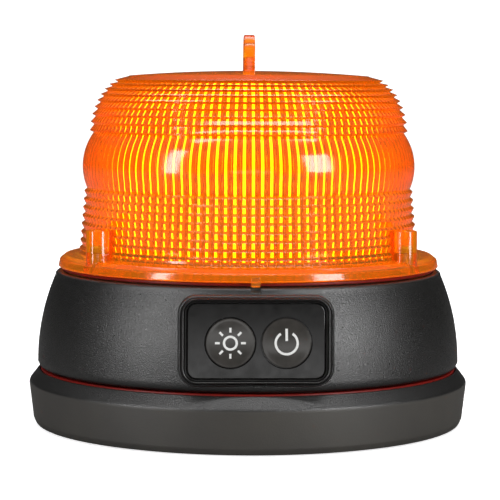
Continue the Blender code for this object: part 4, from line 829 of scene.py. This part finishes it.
def panel_loft(name, width, height, corner, rows, steps=8, closed=False):
    """Rounded rectangles, each drawn in by its own insets (side, rail) and at its own height."""
    loops = []
    for side, rail, z in rows:
        size = (width - 2 * side, height - 2 * rail, max(corner - side, 0.3), steps)
        loop = rounded_rectangle(*size)
        loops.append(np.concatenate([loop, np.full((len(loop), 1), z)], -1))
    if not closed:
        return closed_loft(name, loops)
    return mesh_object(name, loops, grid_faces(len(loops), len(loops[0]), joined=True))


# %% Housing
def side_radius(height, inset=0.0):
    """A circle's arc, upright at the foot and leaning in by 6.45 at the rim."""
    foot, rise = HOUSING_FOOT + 1.9, DECK_TOP - 1.1 - HOUSING_FOOT - 1.9
    bow = (rise**2 + 6.45**2) / (2 * 6.45)
    return HOUSING_RADIUS - bow + np.sqrt((bow - inset) ** 2 - (height - foot) ** 2)


def housing_shell():
    skirt = HOUSING_RADIUS - 4.05
    side = [(side_radius(z), z) for z in np.linspace(DECK_TOP - 2.0, HOUSING_FOOT + 1.9, 22)]
    inner = [(side_radius(z, 2.5), z) for z in np.linspace(HOUSING_FOOT + 7.4, DECK_TOP - 3.8, 9)]
    rim = [
        (FLANGE_RADIUS - 2.8, DECK_TOP),
        (FLANGE_RADIUS - 2.8, DECK_TOP - 0.6),
        (FLANGE_RADIUS - 0.4, DECK_TOP - 0.6),
        (FLANGE_RADIUS + 0.35, DECK_TOP - 0.75),
        (side_radius(DECK_TOP - 1.5) + 0.1, DECK_TOP - 1.25),
        side[0],
    ]
    foot = [
        side[-1],
        (HOUSING_RADIUS - 0.65, HOUSING_FOOT + 0.6),
        (HOUSING_RADIUS - 2.05, HOUSING_FOOT),
        (skirt, HOUSING_FOOT),
        (skirt, HOUSING_FOOT + 7.4),
    ]
    groove = [
        (0, DECK_TOP),
        (SPIGOT_RADIUS - 2.4, DECK_TOP),
        (SPIGOT_RADIUS - 2.4, DECK_TOP - 1.4),
        (SPIGOT_RADIUS + 0.4, DECK_TOP - 1.4),
        (SPIGOT_RADIUS + 0.4, DECK_TOP),
    ]
    outline = [*groove, *soften(rim, 0.3, 4), *side[1:-1], *soften(foot, 0.5, 4), *inner]
    outline += [(FLANGE_RADIUS - 3.1, DECK_TOP - 2.8), (0, DECK_TOP - 2.8)]
    return turned_object("battery_housing", outline, whole_turn(240))


def panel_pad():
    """The block that carries the panel, its front edge rolled over."""
    roll = 1.3
    rows = [(0, 0, -9.0)]
    for t in np.linspace(0, np.pi / 2, 8):
        inset = roll * (1 - math.cos(t))
        rows.append((inset, inset, -roll * (1 - math.sin(t))))
    return on_panel(panel_loft("pad", PANEL_WIDTH, PANEL_HEIGHT, PANEL_CORNER, rows))


def peg(name, radius, low, high, steps=24):
    """An upright pin or hole, with its two ends closed."""
    rows = [turn([(radius, z)], whole_turn(steps))[0] for z in (low, high)]
    return closed_loft(name, rows)


housing = combined(housing_shell(), panel_pad(), "UNION")
skirt_bore = peg("bore", HOUSING_RADIUS - 4.1, HOUSING_FOOT - 0.6, HOUSING_FOOT + 6.6, 240)
housing = combined(housing, skirt_bore, "DIFFERENCE")
pocket_size = (PANEL_WIDTH - 1.3, PANEL_HEIGHT - 1.3, PANEL_CORNER - 0.5)
pocket = panel_loft("pocket", *pocket_size, [(0, 0, -1.8), (0, 0, 5)])
housing = combined(housing, on_panel(pocket), "DIFFERENCE")
rear_pocket = panel_loft("rear_pocket", 44.0, 20.8, 0.5, [(0, 0, -25.0), (0, 0, -6.5)], 2)
housing = combined(housing, on_panel(rear_pocket), "DIFFERENCE")
for index in range(4):
    middle = 90 * (index + 0.5)
    ledge = ring_block("ledge", SPIGOT_OUT + 0.5, HOUSING_RADIUS - 3.6, 19.9, 22.4, middle, 34)
    stop = ring_block("stop", SPIGOT_OUT + 0.8, HOUSING_RADIUS - 3.65, 22.1, 25.9, middle + 13.5, 3)
    housing = combined(combined(housing, ledge, "UNION"), stop, "UNION")
for angle in BOSS_TURNS:
    spot = (BOSS_REACH * math.cos(angle), BOSS_REACH * math.sin(angle))
    pillar = moved(peg("pillar", 3.6, DECK_TOP - 12.8, DECK_TOP - 2.2), *spot)
    housing = combined(housing, pillar, "UNION")
    hole = moved(peg("hole", 1.8, DECK_TOP - 10.8, DECK_TOP + 1.2), *spot)
    housing = combined(housing, hole, "DIFFERENCE")
for side in (1, -1):
    post = moved(peg("post", 3.2, DECK_TOP - 0.4, DECK_TOP + 1.7), side * 38, side * 20)
    housing = combined(housing, post, "UNION")
    hole = moved(peg("hole", 1.3, DECK_TOP - 2.0, DECK_TOP + 2.2), side * 38, side * 20)
    housing = combined(housing, hole, "DIFFERENCE")
    post = on_panel(peg("post", 2.8, -10.3, -6.0), side * 18.5)
    housing = combined(housing, post, "UNION")
    hole = on_panel(peg("hole", 1.2, -11.0, -6.9), side * 18.5)
    housing = combined(housing, hole, "DIFFERENCE")
window = rounded_box("window", (-7, -47, DECK_TOP - 4.8), (7, -39, DECK_TOP + 2), 0.4)
notch_low = (-1.8, -FLANGE_RADIUS - 2, DECK_TOP - 2)
notch_high = (1.8, -FLANGE_RADIUS + 0.4, DECK_TOP + 0.3)
for cutter in (
    on_panel(peg("well", DISC_RADIUS + 1.2, -4.2, -1.0, 64), BUTTON_X, DISC_Y),
    on_panel(peg("stem_hole", 2.6, -8.0, -3.0), BUTTON_X, DISC_Y),
    on_panel(peg("sensor_hole", 3.2, -8.0, -1.0), SENSOR_X, DISC_Y),
    window,
    rounded_box("notch", notch_low, notch_high, 0.2),
):
    housing = combined(housing, cutter, "DIFFERENCE")
show(smoothed(housing, 30), ABS, "housing", ["housing"])

# %% [markdown]
# ## Seals and rubber pad
# Two red silicone rings close the housing: one under the lens and one on the foot. The pad on
# the underside keeps the magnet from scratching a roof. All are turned with rounded edges.

# %% Seals
def red_silicone():
    """Moulded silicone: soft, slightly see-through, and darker where it is thick."""
    finish = {"Roughness": 0.42, "IOR": 1.41, "Subsurface Weight": 0.15, "Subsurface Scale": 0.001}
    material, shader, tree, place = new_material("red_silicone", finish)
    shader.inputs["Subsurface Radius"].default_value = (1.0, 0.2, 0.1)
    cloud = add_node(tree, "TexNoise", {"Vector": place, "Scale": 0.4, "Detail": 4}).outputs["Fac"]
    tree.links.new(colour_between(tree, cloud, ("#7A150F", "#8A1A12")), shader.inputs["Base Color"])
    bump(tree, shader, cloud, 0.03)
    return material


def rounded_ring(name, inner, outer, low, high, edge, columns=200):
    """A ring with a rounded section."""
    corners = rounded_rectangle(outer - inner, high - low, edge, 4)
    outline = corners + [(outer + inner) / 2, (high + low) / 2]
    return turned_object(name, outline, whole_turn(columns))


SILICONE = red_silicone()
seal_radii = (FLANGE_RADIUS - 2.6, FLANGE_RADIUS - 1.5)
seal = rounded_ring("lens_seal", *seal_radii, gasket_low.z, gasket_high.z, 0.3)
show(seal, SILICONE, "housing", ["lens_gasket"])
ring_low, ring_high = packed_box("base_gasket")
seal = rounded_ring("foot_seal", ring_high.x - 3, ring_high.x, ring_low.z, ring_high.z, 0.3)
show(seal, SILICONE, "base", ["base_gasket"])
pad_high = packed_box("rubber_pad")[1]
pad_outline = [(0, pad_high.z), (pad_high.x, pad_high.z), (pad_high.x, 0), (pad_high.x - 3, 0)]
groove = [(0, 0), (-0.6, 0.5), (-1.4, 0.5), (-2.0, 0)]
grooves = [(radius + step, height) for radius in range(64, 8, -6) for step, height in groove]
pad_outline = [*soften([*pad_outline, *grooves], 0.3, 3), (0, 0)]
foot_pad = turned_object("foot_pad", pad_outline, whole_turn(160))
show(foot_pad, PAD_RUBBER, "base", ["rubber_pad"])

# %% [markdown]
# ## The control panel
# A rubber frame with two lips is pressed into the housing's pocket and holds a glossy black
# plate. The plate has two round holes, one for a fixed window over the light sensor and one for
# the sprung mode button. The window is slightly dished and the button slightly domed, so that
# they catch the light differently and a finger can tell them apart.

# %% Frame and plate
# Inset and height above the panel's plane. The rails are narrower than the sides.
high_lip = [(0.0, -1.5), (0.0, 0.25), (0.12, 0.6), (0.36, 0.84), (0.6, 0.9), (0.84, 0.78)]
valley = [(0.98, 0.42), (1.08, 0.26), (1.2, 0.34)]
low_lip = [(1.36, 0.5), (1.54, 0.46), (1.68, 0.28), (1.8, -0.2), (1.8, -1.5)]
bezel_size = (PANEL_WIDTH - 1.9, PANEL_HEIGHT - 1.9, PANEL_CORNER - 0.95)
rows = [(inset, inset * 1.4 / 1.8, z) for inset, z in [*high_lip, *valley, *low_lip]]
bezel = on_panel(panel_loft("bezel_frame", *bezel_size, rows, 12, closed=True))
show(bezel, BEZEL_RUBBER, "housing", ["panel_bezel"])


def gloss_black(name, codes):
    """Back-printed acrylic: black ink under a polished face, with the faintest waviness."""
    material, shader, tree, place = new_material(name, {"IOR": 1.49})
    wave = add_node(tree, "TexNoise", {"Vector": place, "Scale": 0.15, "Detail": 2}).outputs["Fac"]
    ink = add_node(tree, "TexNoise", {"Vector": place, "Scale": 0.3}).outputs["Fac"]
    colour = colour_between(tree, ink, codes)
    roughness = number_between(tree, ink, 0.06, 0.10)
    feed(tree, shader, {"Base Color": colour, "Roughness": roughness})
    bump(tree, shader, wave, 0.02, 0.3)
    return material


WINDOW_DISH = 0.12
BUTTON_DOME = -0.10
WINDOW_TOP = 0.0
BUTTON_TOP = 0.06


def disc_outline(radius, top, dish, foot, stem=None, stem_foot=None, flange=None):
    """From the middle out: a dish or a dome, a rounded edge, then the side and what is under it."""
    radii = np.linspace(0, radius - 0.3, 8)
    dish = [(r, top - dish * (1 - (r / (radius - 0.3)) ** 2)) for r in radii]
    edge = [(radius - 0.2, top), (radius - 0.06, top - 0.05), (radius, top - 0.2)]
    below = [(radius, foot)]
    if flange:
        below += [(radius + flange, foot), (radius + flange, foot - 1.0)]
    if stem:
        below += [(stem, foot - 1.0), (stem, stem_foot)]
    return [*dish, *edge, *below, (0, stem_foot if stem else foot)]


GLOSS = gloss_black("back_printed_acrylic", ("#0F0E0D", "#131211"))
DISC_GLOSS = gloss_black("smoked_acrylic", ("#3A3835", "#403D3A"))
plate_size = (PANEL_WIDTH - 6.1, PANEL_HEIGHT - 5.3, PANEL_CORNER - 3.05)
plate_edge = [(0, 0, -1.5), (0, 0, -0.28), (0.06, 0.06, -0.16), (0.2, 0.2, -0.1)]
plate = panel_loft("panel_plate", *plate_size, plate_edge)
for x in (SENSOR_X, BUTTON_X):
    hole = turn([(8.0, -3.0), (8.0, -0.25), (8.35, 0.2)], whole_turn(96))
    plate = combined(plate, moved(closed_loft("hole", hole), x, DISC_Y), "DIFFERENCE")
show(on_panel(smoothed(plate, 20)), GLOSS, "housing", ["panel_overlay"])
window = disc_outline(DISC_RADIUS, WINDOW_TOP, WINDOW_DISH, -1.5)
window = turned_object("sensor_disc", window, whole_turn(96))
show(on_panel(window, SENSOR_X, DISC_Y), DISC_GLOSS, "housing", ["sensor_window"])
button = disc_outline(DISC_RADIUS, BUTTON_TOP, BUTTON_DOME, -1.8, 2.2, -6.6, 0.8)
button = on_panel(turned_object("button_cap", button, whole_turn(96)), BUTTON_X, DISC_Y)
show(button, DISC_GLOSS, "mode_button", ["mode_button"])

# %% [markdown]
# ### Pictograms
# A sun marks the light sensor and a power sign marks the button. They are thin raised prints, cut
# as real shapes, so they stay sharp from any distance.


# %% Pictograms
PRINT_HALF = 0.05


def white_print():
    """Screen-printed white ink: matt, and a little uneven."""
    material, shader, tree, place = new_material("white_screen_print", {"Roughness": 0.5})
    cover = add_node(tree, "TexNoise", {"Vector": place, "Scale": 3.0, "Detail": 4}).outputs["Fac"]
    tree.links.new(colour_between(tree, cover, ("#E9E9E6", "#F7F7F5")), shader.inputs["Base Color"])
    bump(tree, shader, cover, 0.01)
    return material


def dished(points, top, dish, radius=DISC_RADIUS):
    """Flat outlines laid on a disc: z = top - dish (1 - (r / (R - 0.3))^2)."""
    points = np.asarray(points, float)
    r = np.hypot(points[..., 0], points[..., 1])
    floor = top - dish * (1 - np.minimum(r / (radius - 0.3), 1) ** 2)
    return np.concatenate([points, floor[..., None]], -1)


def print_strip(points_in, points_out, top, dish, start, closed=False):
    """A band between two edges, PRINT_HALF above and below the disc: its points and faces."""
    inner, outer = (dished(edge, top, dish) for edge in (points_in, points_out))
    lift = np.array([0, 0, PRINT_HALF])
    rows = np.array([inner - lift, outer - lift, outer + lift, inner + lift]).transpose(1, 0, 2)
    faces = grid_faces(len(rows), 4, joined=closed, start=start)
    if not closed:
        last = start + 4 * (len(rows) - 1)
        faces += [[start + i for i in (0, 1, 2, 3)], [last + i for i in (3, 2, 1, 0)]]
    return rows.reshape(-1, 3), faces


def pictogram(name, strips, top, dish):
    """Several bands as one mesh."""
    points, faces = [], []
    for inner, outer, closed in strips:
        made = print_strip(inner, outer, top, dish, sum(map(len, points)), closed)
        points.append(made[0])
        faces += made[1]
    return mesh_object(name, np.concatenate(points), faces)


def arc(radius, start, end, count):
    """Points on a circle, between two angles in degrees."""
    angles = np.radians(np.linspace(start, end, count))
    return np.stack([radius * np.cos(angles), radius * np.sin(angles)], -1)


def bar(start, end, width):
    """The two long edges of a straight stroke."""
    start, end = np.array(start, float), np.array(end, float)
    along = (end - start) / np.linalg.norm(end - start)
    side = np.array([-along[1], along[0]]) * width / 2
    line = start + (end - start) * np.linspace(0, 1, 5)[:, None]
    return line - side, line + side


def sun_strips():
    """A ring and eight rays."""
    strips = [(arc(1.6, 0, 352.5, 48), arc(2.35, 0, 352.5, 48), True)]
    for index in range(8):
        angle = math.radians(45 * index)
        way = np.array([math.cos(angle), math.sin(angle)])
        strips.append((*bar(way * 3.3, way * 4.8, 0.7), False))
    return strips


def power_strips():
    """A ring open at the top, with a stroke in the gap."""
    ring = (arc(3.05, 122, 418, 60), arc(3.8, 122, 418, 60), False)
    return [ring, (*bar((0, 0.7), (0, 4.5), 0.78), False)]


PRINT = white_print()
sun = on_panel(pictogram("sun_sign", sun_strips(), WINDOW_TOP, WINDOW_DISH), SENSOR_X, DISC_Y)
show(sun, PRINT, "housing")
power = on_panel(pictogram("power_sign", power_strips(), BUTTON_TOP, BUTTON_DOME), BUTTON_X, DISC_Y)
show(power, PRINT, "mode_button")

# %% [markdown]
# ## What is inside
# The lamp tower shows through the lens, and the rest is there for anyone who opens the housing.
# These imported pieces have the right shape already, so each only gets a finish of its own, chosen
# by the slot that the record gives it.

# %% Lamp finishes
LAMP_GLOW = 13.0
# Painted glow on the white lamp boards, which are no lamps.
PAINTED_BOARD_GLOW = 4.0


def amber_phosphor():
    """Chips under one amber phosphor stripe. It clips to yellow, as a lit lamp does to the eye."""
    finish = {"Base Color": srgb("#FFC850"), "Emission Color": srgb("#FFB43C")}
    finish["Emission Strength"] = LAMP_GLOW
    material, shader, tree, place = new_material("amber_led_phosphor", finish)
    chips = add_node(tree, "TexVoronoi", {"Vector": place, "Scale": 0.8}).outputs["Distance"]
    tree.links.new(number_between(tree, chips, 0.3, 0.6), shader.inputs["Roughness"])
    bump(tree, shader, chips, 0.05)
    return material


def plain_plastic(name, codes, roughness, grain_per_mm=1.5, depth=0.02):
    """A moulded or coated surface: slight colour change, a fine grain and uneven gloss."""
    material, shader, tree, place = new_material(name, {"IOR": 1.5})
    cloud = add_node(tree, "TexNoise", {"Vector": place, "Scale": 0.2, "Detail": 4}).outputs["Fac"]
    grain = add_node(tree, "TexNoise", {"Vector": place, "Scale": grain_per_mm}).outputs["Fac"]
    colour = colour_between(tree, cloud, codes)
    roughness = number_between(tree, grain, roughness - 0.05, roughness + 0.08)
    feed(tree, shader, {"Base Color": colour, "Roughness": roughness})
    bump(tree, shader, grain, depth)
    return material


def painted_glow_solder_mask():
    """The lamp boards are white, with a painted glow: an emission stands for the stripe's light on
    the coating.
    """
    finish = {"Roughness": 0.4, "Emission Color": srgb("#FFA828"), "Emission Strength": PAINTED_BOARD_GLOW}
    material, shader, tree, place = new_material("white_solder_mask_painted_glow", finish)
    cloud = add_node(tree, "TexNoise", {"Vector": place, "Scale": 0.5}).outputs["Fac"]
    tree.links.new(colour_between(tree, cloud, ("#EFEFEA", "#F6F6F2")), shader.inputs["Base Color"])
    return material


def bare_metal(name, codes, roughness, stretch=(1, 1, 1)):
    """Rolled, plated or extruded metal: fine lines along the way it was drawn."""
    material, shader, tree, place = new_material(name, {"Metallic": 1.0})
    drawn = add_node(tree, "Mapping", {"Vector": place, "Scale": stretch}).outputs["Vector"]
    lines = add_node(tree, "TexNoise", {"Vector": drawn, "Scale": 3.0, "Detail": 3}).outputs["Fac"]
    colour = colour_between(tree, lines, codes)
    roughness = number_between(tree, lines, roughness - 0.08, roughness + 0.1)
    feed(tree, shader, {"Base Color": colour, "Roughness": roughness})
    bump(tree, shader, lines, 0.01)
    return material


FINISHES = {
    "lamp_phosphor": amber_phosphor(),
    "lamp_board": painted_glow_solder_mask(),
    "circuit_board": plain_plastic("green_solder_mask", ("#0C5A30", "#11703C"), 0.30),
    "reflector_white": plain_plastic("white_reflector_abs", ("#EDEDEA", "#F5F5F3"), 0.25),
    "inner_nylon": plain_plastic("inner_nylon", ("#24221F", "#2C2926"), 0.5),
    "cell_sleeve": plain_plastic("battery_sleeve", ("#20407C", "#26498A"), 0.28, 0.8),
    "capacitor_can": plain_plastic("capacitor_sleeve", ("#1E2436", "#262D42"), 0.32),
    "wire_red": plain_plastic("red_wire_pvc", ("#B01712", "#BE1E17"), 0.4),
    "wire_black": plain_plastic("black_wire_pvc", ("#161616", "#1E1E1E"), 0.4),
    "wire_grey": plain_plastic("grey_wire_pvc", ("#75777A", "#808285"), 0.45),
    "magnet_ferrite": plain_plastic("sintered_ferrite", ("#333335", "#3F3F42"), 0.65, 2.5, 0.06),
    "tower_aluminium": bare_metal("extruded_aluminium", ("#C9CACC", "#DADBDD"), 0.36, (1, 1, 0.05)),
    "screw_steel": bare_metal("zinc_plated_steel", ("#B9B8B4", "#CDCCC8"), 0.32),
    "contact_nickel": bare_metal("nickel_plated_spring", ("#BDB7AC", "#CFC9BE"), 0.26),
    "button_rubber": moulded_rubber("plunger_rubber", ("#151413", "#1B1A19"), 0.5),
}

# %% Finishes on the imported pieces
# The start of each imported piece's name, under the slot that it takes.
SLOT_NAMES = {
    "lamp_phosphor": "led_strip",
    "lamp_board": "led_board",
    "circuit_board": "main_pcb switch_board",
    "reflector_white": "reflector wire_connector",
    "tower_aluminium": "tower_cap led_post",
    "capacitor_can": "capacitor",
    "screw_steel": "lens_screw pcb_screw board_screw magnet_screw magnet_plate",
    "magnet_ferrite": "magnet",
    "wire_red": "battery_lead_red",
    "wire_black": "battery_lead_black",
    "wire_grey": "switch_cable",
    "inner_nylon": "battery_tray tact_switch photo_sensor",
    "cell_sleeve": "battery",
    "contact_nickel": "contact_spring terminal bridge",
    "button_rubber": "switch_plunger",
}
NODE_SLOTS = {start: slot for slot, names in SLOT_NAMES.items() for start in names.split()}
REPLACED = {"lens", "housing", "base_cover", "base_gasket", "lens_gasket", "rubber_pad"}
REPLACED |= {"panel_bezel", "panel_overlay", "sensor_window", "mode_button"}
finished = 0
for name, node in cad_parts.items():
    if name in REPLACED:
        continue
    matches = [start for start in NODE_SLOTS if name.startswith(start)]
    slot = NODE_SLOTS[max(matches, key=len)]
    for material_slot in node.material_slots:
        material_slot.material = FINISHES[slot]
    finished += 1
print("packed pieces with new finishes:", finished)
